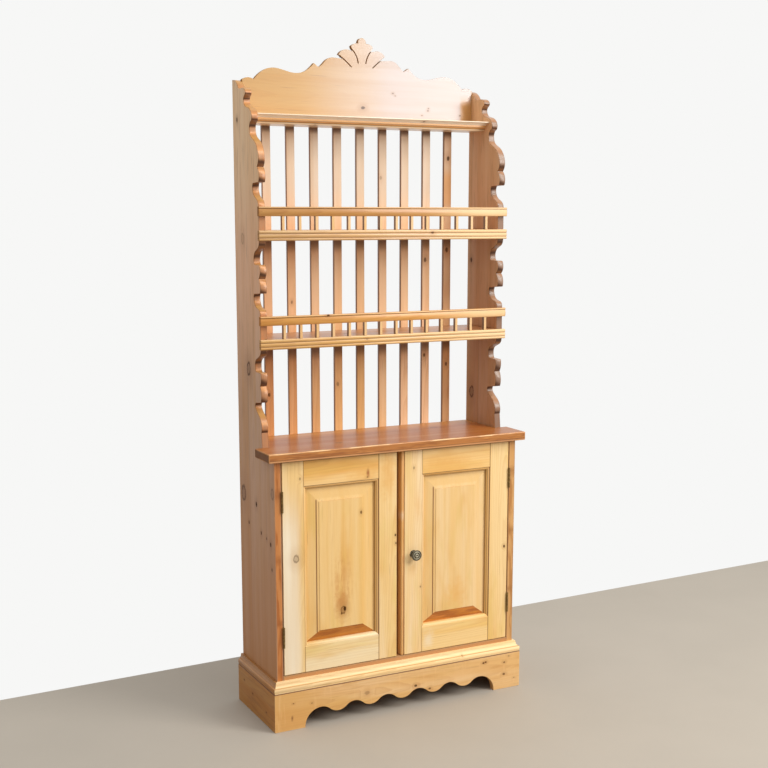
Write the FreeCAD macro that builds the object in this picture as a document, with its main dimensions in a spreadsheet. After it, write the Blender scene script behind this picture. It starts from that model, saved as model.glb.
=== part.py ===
import FreeCAD, Part
import os
import re
import Sketcher

# A pine dresser: an open plate rack over a two-door cupboard on a scalloped plinth.
# X runs to the right, Y to the back and Z up. The origin is on the floor, in the middle of the width
# and of the whole depth, which the knob is the front of. Lengths are in millimetres.

SIZES = (
    # Cupboard and plinth
    ("carcass_width", 808.0, "outside of the side boards"),
    ("carcass_depth", 276.5, "front of the side boards to the back"),
    ("side_thickness", 21.0, "side boards"),
    ("plinth_height", 116.0, "plinth boards"),
    ("plinth_side_thickness", 16.7, "plinth boards on the sides"),
    ("plinth_front_thickness", 21.5, "plinth board on the front"),
    ("plinth_moulding_height", 32.0, "moulding that lies on the plinth boards"),
    ("apron_lobe_bottom", 34.0, "floor to the lowest point of a lobe"),
    ("apron_hollow_top", 55.0, "floor to the top of the hollows between the lobes"),
    ("foot_width", 96.7, "front feet of the plinth"),
    ("apron_arch_width", 52.5, "arch beside each foot"),
    ("block_side", 30.0, "corner blocks behind the plinth"),
    ("bottom_reveal", 12.0, "edge of the bottom board that shows over the moulding"),
    ("bottom_thickness", 18.0, "bottom board"),
    ("worktop_thickness", 26.0, "worktop"),
    ("worktop_overhang_front", 21.6, "worktop in front of the carcass"),
    ("worktop_overhang_side", 23.0, "worktop past each side board"),
    ("rebate_depth", 10.8, "rebate behind, which the back boards and slats fill"),
    ("rebate_width", 10.0, "rebate in the back edge of a side board"),
    ("housing_depth", 6.0, "housings for shelves in the side boards"),
    # Rack
    ("rack_depth", 189.4, "straight front edge of the upper sides to the back"),
    ("scallop_depth", 50.0, "unit for the scallops of the upper sides"),
    ("lower_bay_height", 283.0, "worktop to the lower shelf"),
    ("middle_bay_height", 212.0, "lower gallery to the upper shelf"),
    ("upper_bay_height", 234.0, "upper gallery to the ledge"),
    ("shelf_thickness", 18.0, "rack shelves"),
    ("shelf_moulding_height", 29.0, "reeded moulding on a rack shelf"),
    ("gallery_gap", 39.5, "moulding to gallery rail"),
    ("gallery_rail_height", 26.5, "gallery rail"),
    ("gallery_thickness", 14.0, "mouldings and rails, front to back"),
    ("gallery_overhang", 3.5, "mouldings and rails past the side boards"),
    ("reed_bulge", 2.0, "rounding of the reeds"),
    ("spindle_width", 8.0, "gallery spindles"),
    ("spindle_depth", 12.0, "gallery spindles, front to back"),
    ("spindle_margin", 48.9, "side board to the middle of the first spindle"),
    ("ledge_thickness", 26.0, "ledge under the crest"),
    ("ledge_depth", 122.1, "front edge of the ledge to the slats"),
    ("ledge_nose", 29.0, "moulded part of the ledge"),
    ("side_rise", 100.0, "ledge to the top of the side boards"),
    ("crest_height", 238.0, "crest above the ledge"),
    ("crest_thickness", 14.0, "crest"),
    ("slit_width", 2.6, "saw cuts in the crest"),
    ("slat_width", 26.4, "back slats"),
    ("slat_lap", 60.0, "slat ends behind the crest"),
    # Inside of the cupboard
    ("post_width", 60.0, "post behind the meeting stiles"),
    ("post_depth", 20.0, "post behind the meeting stiles"),
    ("cupboard_shelf_height", 470.0, "floor to the underside of the cupboard shelf"),
    ("cupboard_shelf_thickness", 18.0, "cupboard shelf"),
    ("cupboard_shelf_setback", 14.5, "latch tongue to the front of the cupboard shelf"),
    ("cupboard_shelf_play", 0.5, "end of the cupboard shelf to the side board"),
    ("batten_side", 20.0, "battens under the cupboard shelf"),
    ("tongue_length", 5.0, "tongue of a back board"),
    ("back_board_lift", 6.0, "floor to the back boards"),
    # Doors
    ("door_height", 634.0, "both doors"),
    ("door_thickness", 21.0, "both doors"),
    ("door_lower_gap", 2.0, "bottom board to door"),
    ("door_upper_gap", 3.0, "door to worktop"),
    ("door_stop_gap", 0.5, "door to the post behind it"),
    ("meeting_gap", 15.3, "left door to the bead of the right door"),
    ("meeting_offset", 3.85, "middle of the meeting gap, to the left of the middle of the cupboard"),
    ("hinge_stile_width", 66.0, "flat of a hinge stile"),
    ("meeting_stile_width", 60.0, "flat of a meeting stile"),
    ("top_rail_width", 76.0, "flat of a top rail"),
    ("bottom_rail_width", 78.0, "flat of a bottom rail"),
    ("stick_width", 9.0, "moulding stuck on the inside of the frame"),
    ("stick_step", 1.5, "step down from the flat to the moulding"),
    ("stick_fall", 8.5, "fall of the moulding"),
    ("groove_depth", 8.0, "panel groove"),
    ("groove_width", 4.0, "panel groove"),
    ("groove_lip", 2.5, "wood behind the panel groove"),
    ("panel_play", 0.5, "panel edge to the bottom of its groove"),
    ("panel_recess", 6.0, "door face to the field of the panel"),
    ("panel_step", 1.5, "step round the field of the panel"),
    ("bevel_side", 42.0, "bevel at the sides of the panel"),
    ("bevel_bottom", 31.0, "bevel at the foot of the panel"),
    ("bevel_top", 43.0, "bevel at the head of the panel"),
    ("tenon_thickness", 7.0, "rail tenons"),
    ("tenon_length", 40.0, "rail tenons"),
    ("tenon_shoulder", 10.0, "edge of the rail to the tenon"),
    ("bead_width", 11.2, "bead strip on the right door"),
    ("bead_quirk", 1.4, "groove beside the bead"),
    # Hinges and screws
    ("hinge_height", 62.0, "butt hinges"),
    ("hinge_margin", 85.0, "hinges to the ends of the door"),
    ("leaf_margin", 2.0, "hinge leaf to the back of the door"),
    ("leaf_thickness", 1.6, "hinge leaves"),
    ("leaf_clear", 0.3, "one leaf to the other when the door is shut"),
    ("knuckle_radius", 3.3, "hinge knuckles"),
    ("knuckle_clear", 0.3, "knuckle to the wood and to the next knuckle"),
    ("pin_radius", 1.5, "hinge pins"),
    ("pin_fit", 0.05, "room round pins, screws and the latch spindle's end"),
    ("screw_head_radius", 3.0, "hinge screws"),
    ("screw_shank_radius", 1.5, "hinge screws"),
    ("screw_length", 14.0, "hinge screws"),
    # Knob, latch and bolt
    ("knob_reach", 25.0, "door face to the front of the knob"),
    ("knob_radius", 16.5, "knob"),
    ("knob_height", 476.0, "floor to the axis of the knob"),
    ("rose_radius", 12.0, "rose under the knob"),
    ("rose_thickness", 1.6, "rose under the knob"),
    ("rose_clear", 0.3, "rose to the knob"),
    ("spindle_radius", 4.0, "latch spindle"),
    ("spindle_fit", 0.1, "room round the latch spindle"),
    ("latch_gap", 1.0, "back of the post to the latch tongue"),
    ("latch_clear", 11.85, "side of the post to the upright latch tongue"),
    ("latch_half_length", 33.0, "latch tongue, each way from its axis"),
    ("latch_width", 14.0, "latch tongue"),
    ("latch_thickness", 5.0, "latch tongue"),
    ("bolt_clear", 7.65, "side of the post to the bolt plate"),
    ("bolt_radius", 3.5, "bolt rod"),
    ("bolt_fit", 0.1, "room round the bolt rod"),
    ("bolt_length", 86.0, "bolt rod"),
    ("bolt_drop", 4.0, "top of the door to the drawn bolt"),
    ("bolt_plate_width", 20.0, "bolt plate"),
    ("bolt_plate_thickness", 2.0, "bolt plate"),
    ("bolt_plate_height", 64.0, "bolt plate"),
    ("bolt_guide_depth", 10.0, "guides on the bolt plate"),
    ("bolt_guide_height", 8.0, "guides on the bolt plate"),
    ("bolt_guide_width", 14.0, "guides on the bolt plate"),
    ("bolt_guide_inset", 2.0, "end of the bolt plate to a guide"),
    ("bolt_handle_radius", 3.0, "handle of the bolt"),
    ("bolt_handle_reach", 12.0, "handle of the bolt, from the rod's axis"),
    ("bolt_handle_height", 40.0, "foot of the rod to its handle"),
    ("keeper_radius", 4.0, "hole for the bolt in the worktop"),
    ("keeper_depth", 14.0, "hole for the bolt in the worktop"),
    ("overrun", 5.0, "how far every cut runs past the wood"),
)

# Places that follow from the sizes
PLACES = {
    "back": "(carcass_depth + knob_reach) / 2",
    "front": "back - carcass_depth",
    "rack_front": "back - rack_depth",
    "back_face": "back - rebate_depth",
    "outer": "carcass_width / 2",
    "inner": "outer - side_thickness",
    "plinth_outer": "outer + plinth_side_thickness",
    "plinth_front": "front - plinth_front_thickness",
    "moulding_top": "plinth_height + plinth_moulding_height",
    "bottom_top": "moulding_top + bottom_reveal",
    "bottom_under": "bottom_top - bottom_thickness",
    "door_foot": "bottom_top + door_lower_gap",
    "door_head": "door_foot + door_height",
    "worktop_under": "door_head + door_upper_gap",
    "worktop_top": "worktop_under + worktop_thickness",
    "slat_foot": "worktop_under + worktop_thickness / 2",
    "lower_shelf_under": "worktop_top + lower_bay_height",
    "lower_shelf_top": "lower_shelf_under + shelf_moulding_height",
    "lower_gallery_top": "lower_shelf_top + gallery_gap + gallery_rail_height",
    "upper_shelf_under": "lower_gallery_top + middle_bay_height",
    "upper_shelf_top": "upper_shelf_under + shelf_moulding_height",
    "upper_gallery_top": "upper_shelf_top + gallery_gap + gallery_rail_height",
    "ledge_under": "upper_gallery_top + upper_bay_height",
    "ledge_top": "ledge_under + ledge_thickness",
    "side_top": "ledge_top + side_rise",
    "gallery_front": "rack_front - gallery_thickness",
    "spindle_pitch": "2 * (inner - spindle_margin) / spindle_steps",
    "slat_pitch": "2 * inner / slat_steps",
    "apron_arch_half": "plinth_outer - foot_width",
    "apron_lobe_pitch": "2 * (apron_arch_half - apron_arch_width) / lobes",
    "door_gap": "2 * leaf_thickness + leaf_clear",
    "left_hinge_edge": "-(inner - door_gap)",
    "left_meeting_edge": "-meeting_offset - meeting_gap / 2",
    "right_hinge_edge": "inner - door_gap",
    "right_edge": "-meeting_offset + meeting_gap / 2",
    "right_meeting_edge": "right_edge + bead_width",
    "door_back": "front + door_thickness",
    "post_middle": "-meeting_offset",
    "post_left": "post_middle - post_width / 2",
    "post_right": "post_middle + post_width / 2",
    "post_front": "door_back + door_stop_gap",
    "post_back": "post_front + post_depth",
    "frame_foot": "door_foot + bottom_rail_width",
    "frame_head": "door_head - top_rail_width",
    "pivot": "inner - door_gap / 2",
    "pivot_line": "front - knuckle_clear - knuckle_radius",
    "groove_front": "door_thickness - groove_lip - groove_width",
    "lower_hinge_height": "door_foot + hinge_margin",
    "upper_hinge_height": "door_head - hinge_margin - hinge_height",
    "hinge_leaf_width": "door_thickness - leaf_margin",
    "knob_axis": "post_right + latch_clear + latch_width / 2",
    "latch_front": "post_back + latch_gap",
    "latch_back": "latch_front + latch_thickness",
    "cupboard_shelf_front": "latch_back + cupboard_shelf_setback",
    "bolt_axis": "post_left - bolt_clear - bolt_plate_width / 2",
    "bolt_line": "door_back + bolt_plate_thickness + bolt_guide_depth / 2",
    "bolt_head": "door_head - bolt_drop",
    "bolt_foot": "bolt_head - bolt_length",
    "bolt_plate_head": "bolt_head - bolt_drop",
    "bolt_plate_foot": "bolt_plate_head - bolt_plate_height",
    "half_slat": "slat_width / 2",
    "half_spindle": "spindle_width / 2",
    "half_spindle_depth": "spindle_depth / 2",
}

SPINDLES = 14
SLATS = 9
LOBES = 5
KNUCKLES = 5
COUNTS = {"spindle_steps": SPINDLES - 1, "slat_steps": SLATS + 1, "lobes": LOBES}

# Outlines, as runs of points: two make a line, three an arc and more a smooth curve.
# Scallops of the upper sides: behind the front edge in scallop depths, and up the bay
lower_bay_shares = (
    ((0, 0), (0.096, 0.152)),
    ((0.096, 0.152), (0.04, 0.184), (0.062, 0.233), (0.3, 0.3), (0.772, 0.357), (0.984, 0.399),
     (0.918, 0.4435)),
    ((0.918, 0.4435), (0.1, 0.462)),
    ((0.1, 0.462), (0.02, 0.545), (0.18, 0.627)),
    ((0.18, 0.627), (0.03, 0.696), (0.056, 0.763)),
    ((0.056, 0.763), (0.84, 0.768)),
    ((0.84, 0.768), (0.91, 0.8007), (0.854, 0.873), (0.28, 0.926), (0, 1)),
)
middle_bay_shares = (
    ((0, 0), (0.126, 0.0788), (0.67, 0.121), (0.952, 0.215), (0.89, 0.2896)),
    ((0.89, 0.2896), (-0.02, 0.3066)),
    ((-0.02, 0.3066), (-0.07, 0.4), (0.15, 0.4986)),
    ((0.15, 0.4986), (-0.07, 0.6), (0.062, 0.682)),
    ((0.062, 0.682), (0.76, 0.684)),
    ((0.76, 0.684), (0.874, 0.745), (0.72, 0.84), (0.228, 0.901), (0, 1)),
)
top_bay_shares = (
    ((0, 0), (0.3, 0.0575), (0.706, 0.088), (0.89, 0.132), (0.8, 0.1806)),
    ((0.8, 0.1806), (-0.04, 0.186)),
    ((-0.04, 0.186), (-0.12, 0.242), (0.14, 0.303)),
    ((0.14, 0.303), (-0.08, 0.375), (0.03, 0.428), (0.528, 0.503), (1.14, 0.556), (1.23, 0.604),
     (1.088, 0.647)),
    ((1.088, 0.647), (0.894, 0.66)),
    ((0.894, 0.66), (0.86, 0.7), (1.308, 0.758), (1.92, 0.785), (2.08, 0.825), (1.94, 0.8556)),
    ((1.94, 0.8556), (1.78, 0.885), (1.98, 0.913), (2.4, 0.921), (2.86, 0.926)),
)
crown_shares = (0.429, 0.733)
# Half of the crest: out from the middle, and up from the ledge
crest_shares = (
    ((1, 0.424), (0.956, 0.452), (0.906, 0.433)),
    ((0.906, 0.433), (0.864, 0.504), (0.812, 0.559), (0.744, 0.582), (0.653, 0.557), (0.577, 0.533),
     (0.488, 0.559), (0.436, 0.62), (0.411, 0.664)),
    ((0.411, 0.664), (0.371, 0.618)),
    ((0.371, 0.618), (0.329, 0.6765), (0.298, 0.7227), (0.256, 0.7437), (0.21, 0.739), (0.172, 0.737)),
    ((0.172, 0.737), (0.18, 0.762), (0.203, 0.784)),
    ((0.203, 0.784), (0.153, 0.848), (0.095, 0.836)),
    ((0.095, 0.836), (0.083, 0.842)),
    ((0.083, 0.842), (0.0953, 0.895)),
    ((0.0953, 0.895), (0.063, 0.928), (0.034, 0.933)),
    ((0.034, 0.933), (0.0287, 0.976), (0, 1)),
)
outer_slit_shares = ((0.176, 0.752), (0.127, 0.692), (0.092, 0.64))
inner_slit_shares = ((0.092, 0.862), (0.052, 0.785), (0.033, 0.689))
# Plinth moulding: out from the carcass, and up
plinth_moulding_shares = (
    ((0, 0), (0.93, 0)),
    ((0.93, 0), (0.93, 0.1)),
    ((0.93, 0.1), (1, 0.3), (0.93, 0.5)),
    ((0.93, 0.5), (0.88, 0.5)),
    ((0.88, 0.5), (0.6, 0.62), (0.5, 0.86)),
    ((0.5, 0.86), (0.44, 0.86)),
    ((0.44, 0.86), (0.44, 1)),
    ((0.44, 1), (0, 1)),
    ((0, 1), (0, 0)),
)
# Nose of the ledge: back from its front edge, and down from its top
ledge_nose_shares = (
    ((0, 0), (0, 0.1)),
    ((0, 0.1), (0.35, 0.19), (0.63, 0.38)),
    ((0.63, 0.38), (0.63, 0.6)),
    ((0.63, 0.6), (0.88, 0.72), (1, 1)),
)
# Heights of the reeds, from the top
moulding_reed_shares = (0.33, 0.4, 0.27)
rail_reed_shares = (0.2, 0.8)
# The knob and its neck: out from the axis, and forward from the foot
knob_shares = (
    ((0.5, 0), (0.42, 0.14), (0.46, 0.3)),
    ((0.46, 0.3), (0.52, 0.55), (0.94, 0.78)),
    ((0.94, 0.78), (1, 0.85), (0.93, 0.92)),
    ((0.93, 0.92), (0.82, 0.9), (0.72, 0.93)),
    ((0.72, 0.93), (0.58, 0.97), (0.44, 0.93)),
    ((0.44, 0.93), (0.38, 0.92), (0.32, 0.94)),
    ((0.32, 0.94), (0.2, 0.982), (0.06, 1)),
    ((0.06, 1), (0, 1)),
)
latch_corner_share = 0.3
# How far an arch beside a foot bulges: out from the lobes, and up
apron_arch_share = 0.72
# Middle of half a hollow between the lobes: out from the lobe's flank, and up from it
apron_hollow_share = (0.464, 0.741)
# Middle of the quarter round on a door frame
stick_round_share = 0.7071
screw_height_shares = (0.16, 0.5, 0.84)
screw_width_shares = (0.35, 0.65, 0.35)

doc = FreeCAD.newDocument("plate_rack_cupboard")
sheet = doc.addObject("Spreadsheet::Sheet", "Sizes")
for row, (alias, number, note) in enumerate(SIZES, 1):
    sheet.set("A%d" % row, alias)
    sheet.set("B%d" % row, str(number))
    sheet.setAlias("B%d" % row, alias)
    sheet.set("C%d" % row, note)
doc.recompute()
ALIASES = {alias for alias, number, note in SIZES}
parts = []


def full(expression):
    """The expression with its places worked out and its sizes named in the sheet."""
    def word(match):
        name = match.group(0)
        if name in PLACES:
            return "(" + full(PLACES[name]) + ")"
        if name in ALIASES:
            return "Sizes." + name
        if name in COUNTS:
            return str(COUNTS[name])
        raise ValueError("unknown size " + name)
    return re.sub(r"[a-z][a-z_]*", word, expression)


def value(expression):
    """The number that an expression comes to."""
    return float(sheet.evalExpression(full(expression)))


def new(kind, name):
    """An object of the document."""
    return doc.addObject(kind, name)


def keep(label, item):
    """Names a finished sub-part."""
    item.Label = label
    parts.append(item)
    return item


def box(name, x, y, z):
    """A box between pairs of expressions, given in either order."""
    item = new("Part::Box", name)
    for axis, side, pair in zip("xyz", ("Length", "Width", "Height"), (x, y, z)):
        low, high = sorted(pair, key=value)
        item.setExpression("Placement.Base." + axis, full(low))
        item.setExpression(side, full("(%s) - (%s)" % (high, low)))
    return item


def turned(item, direction):
    """Turns an upright round piece to run along X, Y or Z."""
    axis, angle = {"x": ((0, 1, 0), 90), "y": ((1, 0, 0), -90), "z": ((0, 0, 1), 0)}[direction[-1]]
    if direction[0] == "-":
        angle += 180
    item.Placement = FreeCAD.Placement(FreeCAD.Vector(), FreeCAD.Rotation(FreeCAD.Vector(*axis), angle))


def rod(name, direction, radius, length, place, tip_radius=None):
    """A cylinder, or a cone when it has a tip radius, from a place in a direction."""
    item = new("Part::Cone" if tip_radius else "Part::Cylinder", name)
    turned(item, direction)
    if tip_radius:
        item.setExpression("Radius1", full(radius))
        item.setExpression("Radius2", full(tip_radius))
    else:
        item.setExpression("Radius", full(radius))
    item.setExpression("Height", full(length))
    for axis, expression in zip("xyz", place):
        item.setExpression("Placement.Base." + axis, full(expression))
    return item


def fuse(name, *items):
    """One solid of several that touch."""
    item = new("Part::MultiFuse", name)
    item.Shapes = list(items)
    item.Refine = True
    return item


def group(name, items):
    """Separate solids that share a node."""
    item = new("Part::Compound", name)
    item.Links = list(items)
    return item


def cut(name, base, tools):
    """What the tools leave of the base."""
    item = new("Part::Cut", name)
    item.Base = base
    item.Tool = tools[0] if len(tools) == 1 else group(name + "_tools", tools)
    return item


def common(name, base, tool):
    """What two shapes share."""
    item = new("Part::Common", name)
    item.Base = base
    item.Tool = tool
    return item


def sketch_on(body, role):
    """A sketch on one of the body's own planes."""
    sketch = body.newObject("Sketcher::SketchObject", body.Name + "_sketch")
    plane = [feature for feature in body.Origin.OriginFeatures if feature.Role == role][0]
    sketch.AttachmentSupport = [(plane, "")]
    sketch.MapMode = "FlatFace"
    return sketch


def padded(name, role, low, high):
    """A body whose sketch will be padded between two places along the plane's normal."""
    body = new("PartDesign::Body", name)
    sketch = sketch_on(body, role)
    pad = body.newObject("PartDesign::Pad", name + "_pad")
    pad.Profile = sketch
    pad.setExpression("Length", full("(%s) - (%s)" % (high, low)))
    body.Tip = pad
    axis, start = {"XY_Plane": ("z", low), "XZ_Plane": ("y", high), "YZ_Plane": ("x", low)}[role]
    body.setExpression("Placement.Base." + axis, full(start))
    return body, sketch


def polygon_body(name, role, corners, low, high):
    """A padded polygon whose corners are bound to pairs of expressions."""
    body, sketch = padded(name, role, low, high)
    points = [FreeCAD.Vector(value(across), value(up), 0) for across, up in corners]
    count = len(points)
    for index, point in enumerate(points):
        sketch.addGeometry(Part.LineSegment(point, points[(index + 1) % count]), False)
    for index in range(count):
        sketch.addConstraint(Sketcher.Constraint("Coincident", index, 2, (index + 1) % count, 1))
    for index, (point, corner) in enumerate(zip(points, corners)):
        for kind, place, expression in zip(("DistanceX", "DistanceY"), (point.x, point.y), corner):
            number = sketch.addConstraint(Sketcher.Constraint(kind, -1, 1, index, 1, place))
            sketch.setExpression("Constraints[%d]" % number, full(expression))
    return body


def run_curve(points):
    """A line through two points, an arc through three or a smooth curve through more."""
    if len(points) == 2:
        return Part.LineSegment(*points)
    if len(points) == 3:
        return Part.Arc(*points)
    curve = Part.BSplineCurve()
    curve.interpolate(points)
    return curve


def outline_body(name, role, runs, low, high):
    """A padded outline, given as runs of points in the sketch plane."""
    body, sketch = padded(name, role, low, high)
    for points in runs:
        sketch.addGeometry(run_curve([FreeCAD.Vector(across, up, 0) for across, up in points]), False)
    return body


def placed(shares, across, up):
    """Runs of shares turned into places by two functions."""
    return [[(across(first), up(second)) for first, second in run] for run in shares]


def mirrored(runs):
    """The same runs on the other side of the middle, in the opposite order."""
    return [[(-across, up) for across, up in reversed(run)] for run in reversed(runs)]


def mitred_strip(name, shares, start, end):
    """A moulding between two mitred ends: start and end turn a share pair into a point."""
    wires = []
    for point in (start, end):
        curves = [run_curve([point(*pair) for pair in run]) for run in shares]
        wires.append(Part.Wire([curve.toShape() for curve in curves]))
    item = new("Part::Feature", name)
    item.Shape = Part.makeLoft(wires, True, True)
    return item


# Carcass
def hinge_places(side):
    """Name, hinge foot and sign of each hinge on one side."""
    sign = -1 if side == "left" else 1
    return [("%s_%s" % (side, level), level + "_hinge_height", sign) for level in ("lower", "upper")]


def screws(name, places, spare="0"):
    """Countersunk screws through the leaves of hinges, the heads flush in the gap."""
    items = []
    for place, foot, sign, face, into in places:
        run = "x" if into > 0 else "-x"
        for index, (up, back) in enumerate(zip(screw_height_shares, screw_width_shares)):
            label = "%s_%s_%d" % (name, place, index)
            line = "front + %g * hinge_leaf_width" % back
            level = "%s + %g * hinge_height" % (foot, up)
            start = "%s - (%d) * leaf_thickness" % (face, into)
            head = rod(label + "_head", run, "screw_head_radius + " + spare, "leaf_thickness",
                       (start, line, level), "screw_shank_radius + " + spare)
            shank = rod(label + "_shank", run, "screw_shank_radius + " + spare,
                        "screw_length - leaf_thickness + " + spare, (face, line, level))
            items.append(fuse(label, head, shank))
    return items


def frame_faces(side):
    """Hinge places with the inner face of the side board, and the way that its screws point."""
    return [(name, foot, sign, "%d * inner" % sign, sign) for name, foot, sign in hinge_places(side)]


def door_faces(side):
    """Hinge places with the hinge edge of the door, and the way that its screws point."""
    return [(name, foot, sign, side + "_hinge_edge", -sign) for name, foot, sign in hinge_places(side)]


def side_outline():
    """A side board from the side: full depth under the worktop, then scalloped up to its crown."""
    def bay(shares, low, high):
        return placed(shares, lambda share: value("rack_front + %g * scallop_depth" % share),
                      lambda share: value("%s + %g * (%s - %s)" % (low, share, high, low)))
    runs = bay(lower_bay_shares, "worktop_top", "lower_shelf_under")
    runs += bay(middle_bay_shares, "lower_gallery_top", "upper_shelf_under")
    runs += bay(top_bay_shares, "upper_gallery_top", "side_top")
    start = runs[-1][-1]
    corner = (value("back"), value("side_top"))
    crown = tuple(low + share * (high - low) for share, low, high in zip(crown_shares, start, corner))
    runs.append([start, crown, corner])
    edge = value("rack_front")
    for shelf in ("lower", "upper"):
        runs.append([(edge, value(shelf + "_shelf_under")), (edge, value(shelf + "_gallery_top"))])
    below = [corner, (value("back"), 0), (value("front"), 0), (value("front"), value("worktop_under")),
             (edge, value("worktop_under")), (edge, value("worktop_top"))]
    runs += [list(pair) for pair in zip(below, below[1:])]
    return runs


def side_panel(side):
    """Side board with its back rebate, shelf housings and screw holes."""
    sign = -1 if side == "left" else 1
    low, high = sorted(("%d * inner" % sign, "%d * outer" % sign), key=value)
    name = side + "_side"
    board = outline_body(name + "_board", "YZ_Plane", side_outline(), low, high)
    rebate = box(name + "_rebate", ("%d * (inner - overrun)" % sign, "%d * (inner + rebate_width)" % sign),
                 ("back_face", "back + overrun"), ("-overrun", "side_top + overrun"))
    tools = [rebate]
    for shelf in ("lower", "upper"):
        top = shelf + "_shelf_top"
        tools.append(box(name + "_%s_housing" % shelf,
                         ("%d * (inner - overrun)" % sign, "%d * (inner + housing_depth)" % sign),
                         ("rack_front - overrun", "back_face"), (top + " - shelf_thickness", top)))
    tools += screws(name + "_hole", frame_faces(side), "pin_fit")
    keep(side + "_side_panel", cut(name, board, tools))


def worktop():
    """Worktop with an ear in front of each upper side, and the hole for the bolt."""
    corners = []
    for sign in (1, -1):
        half = [("%d * (outer + worktop_overhang_side)" % sign, "front - worktop_overhang_front"),
                ("%d * (outer + worktop_overhang_side)" % sign, "rack_front"),
                ("%d * inner" % sign, "rack_front"),
                ("%d * inner" % sign, "back_face")]
        corners += half if sign > 0 else half[::-1]
    board = polygon_body("worktop_board", "XY_Plane", corners, "worktop_under", "worktop_top")
    keeper = rod("keeper_hole", "z", "keeper_radius", "keeper_depth + overrun",
                 ("bolt_axis", "bolt_line", "worktop_under - overrun"))
    keep("worktop", cut("worktop_holed", board, [keeper]))


def cupboard_inside():
    """Bottom board, post, shelf on battens, back boards and corner blocks."""
    width = ("-inner", "inner")
    keep("bottom_board", box("bottom_box", width, ("front", "back_face"), ("bottom_under", "bottom_top")))
    keep("centre_post", box("post_box", ("post_left", "post_right"), ("post_front", "post_back"),
                            ("bottom_top", "worktop_under")))
    shelf_top = "cupboard_shelf_height + cupboard_shelf_thickness"
    keep("cupboard_shelf", box("cupboard_shelf_box",
                               ("-(inner - cupboard_shelf_play)", "inner - cupboard_shelf_play"),
                               ("cupboard_shelf_front", "back_face"),
                               ("cupboard_shelf_height", shelf_top)))
    battens = []
    blocks = []
    for sign in (-1, 1):
        battens.append(box("batten_%d" % (sign + 1),
                           ("%d * (inner - batten_side)" % sign, "%d * inner" % sign),
                           ("cupboard_shelf_front", "back_face"),
                           ("cupboard_shelf_height - batten_side", "cupboard_shelf_height")))
        for line in (("front", "front + block_side"), ("back_face - block_side", "back_face")):
            blocks.append(box("block_%d" % len(blocks),
                              ("%d * (inner - block_side)" % sign, "%d * inner" % sign),
                              line, ("0", "bottom_under")))
    keep("shelf_battens", group("battens", battens))
    keep("plinth_corner_blocks", group("blocks", blocks))


def back_boards():
    """Two boards in the rebate, joined by a tongue."""
    line = ("back_face", "back")
    level = ("back_board_lift", "slat_foot")
    third = ("back_face + rebate_depth / 3", "back - rebate_depth / 3")
    left = box("left_back_box", ("-(inner + rebate_width)", "0"), line, level)
    right = box("right_back_box", ("0", "inner + rebate_width"), line, level)
    tongue = box("back_tongue", ("0", "tongue_length"), third, level)
    groove = box("back_groove", ("-overrun", "tongue_length"), third,
                 ("back_board_lift - overrun", "slat_foot + overrun"))
    keep("back_board_left", fuse("left_back", left, tongue))
    keep("back_board_right", cut("right_back", right, [groove]))


def apron_cutter():
    """The space under the apron: an arch at each foot, and lobes and hollows of one radius between them."""
    low, high, foot = value("apron_lobe_bottom"), value("apron_hollow_top"), value("apron_arch_half")
    half_lobe, flank = value("apron_lobe_pitch / 4"), (low + high) / 2
    waves = []
    for number in range(2 * LOBES - 1):
        middle = 2 * (number - LOBES + 1) * half_lobe
        peak = high if number % 2 else low
        waves.append([(middle - half_lobe, flank), (middle, peak), (middle + half_lobe, flank)])
    start = waves[-1][-1]
    top = (start[0] + half_lobe, high)
    bend = tuple(first + share * (last - first)
                 for share, first, last in zip(apron_hollow_share, start, top))
    arch = [top, (top[0] + apron_arch_share * (foot - top[0]), apron_arch_share * high), (foot, 0)]
    below = -value("overrun")
    ends = [[start, bend, top], arch]
    runs = mirrored(ends) + waves + ends
    runs += [[(foot, 0), (foot, below)], [(foot, below), (-foot, below)], [(-foot, below), (-foot, 0)]]
    return outline_body("apron_cutter", "XZ_Plane", runs, "plinth_front - overrun", "front + overrun")


def plinth():
    """Mitred plinth boards."""
    level = ("0", "plinth_height")
    front = polygon_body("plinth_front_board", "XY_Plane",
                         [("-plinth_outer", "plinth_front"), ("plinth_outer", "plinth_front"),
                          ("outer", "front"), ("-outer", "front")], *level)
    keep("plinth_front", cut("plinth_front_cut", front, [apron_cutter()]))
    for side, sign in (("left", -1), ("right", 1)):
        board = polygon_body("plinth_%s_board" % side, "XY_Plane",
                             [("%d * outer" % sign, "front"), ("%d * plinth_outer" % sign, "plinth_front"),
                              ("%d * plinth_outer" % sign, "back"), ("%d * outer" % sign, "back")], *level)
        keep("plinth_" + side, board)


def plinth_mouldings():
    """Mouldings on the plinth boards, mitred at the front corners and square at the back."""
    side_out, front_out = value("plinth_side_thickness"), value("plinth_front_thickness")
    outer, front, back = value("outer"), value("front"), value("back")
    foot, rise = value("plinth_height"), value("plinth_moulding_height")

    def corner(sign):
        return lambda out, up: FreeCAD.Vector(sign * (outer + out * side_out), front - out * front_out,
                                              foot + up * rise)

    def square(sign):
        return lambda out, up: FreeCAD.Vector(sign * (outer + out * side_out), back, foot + up * rise)

    keep("plinth_moulding_front",
         mitred_strip("moulding_front", plinth_moulding_shares, corner(-1), corner(1)))
    for side, sign in (("left", -1), ("right", 1)):
        keep("plinth_moulding_" + side,
             mitred_strip("moulding_" + side, plinth_moulding_shares, corner(sign), square(sign)))


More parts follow.
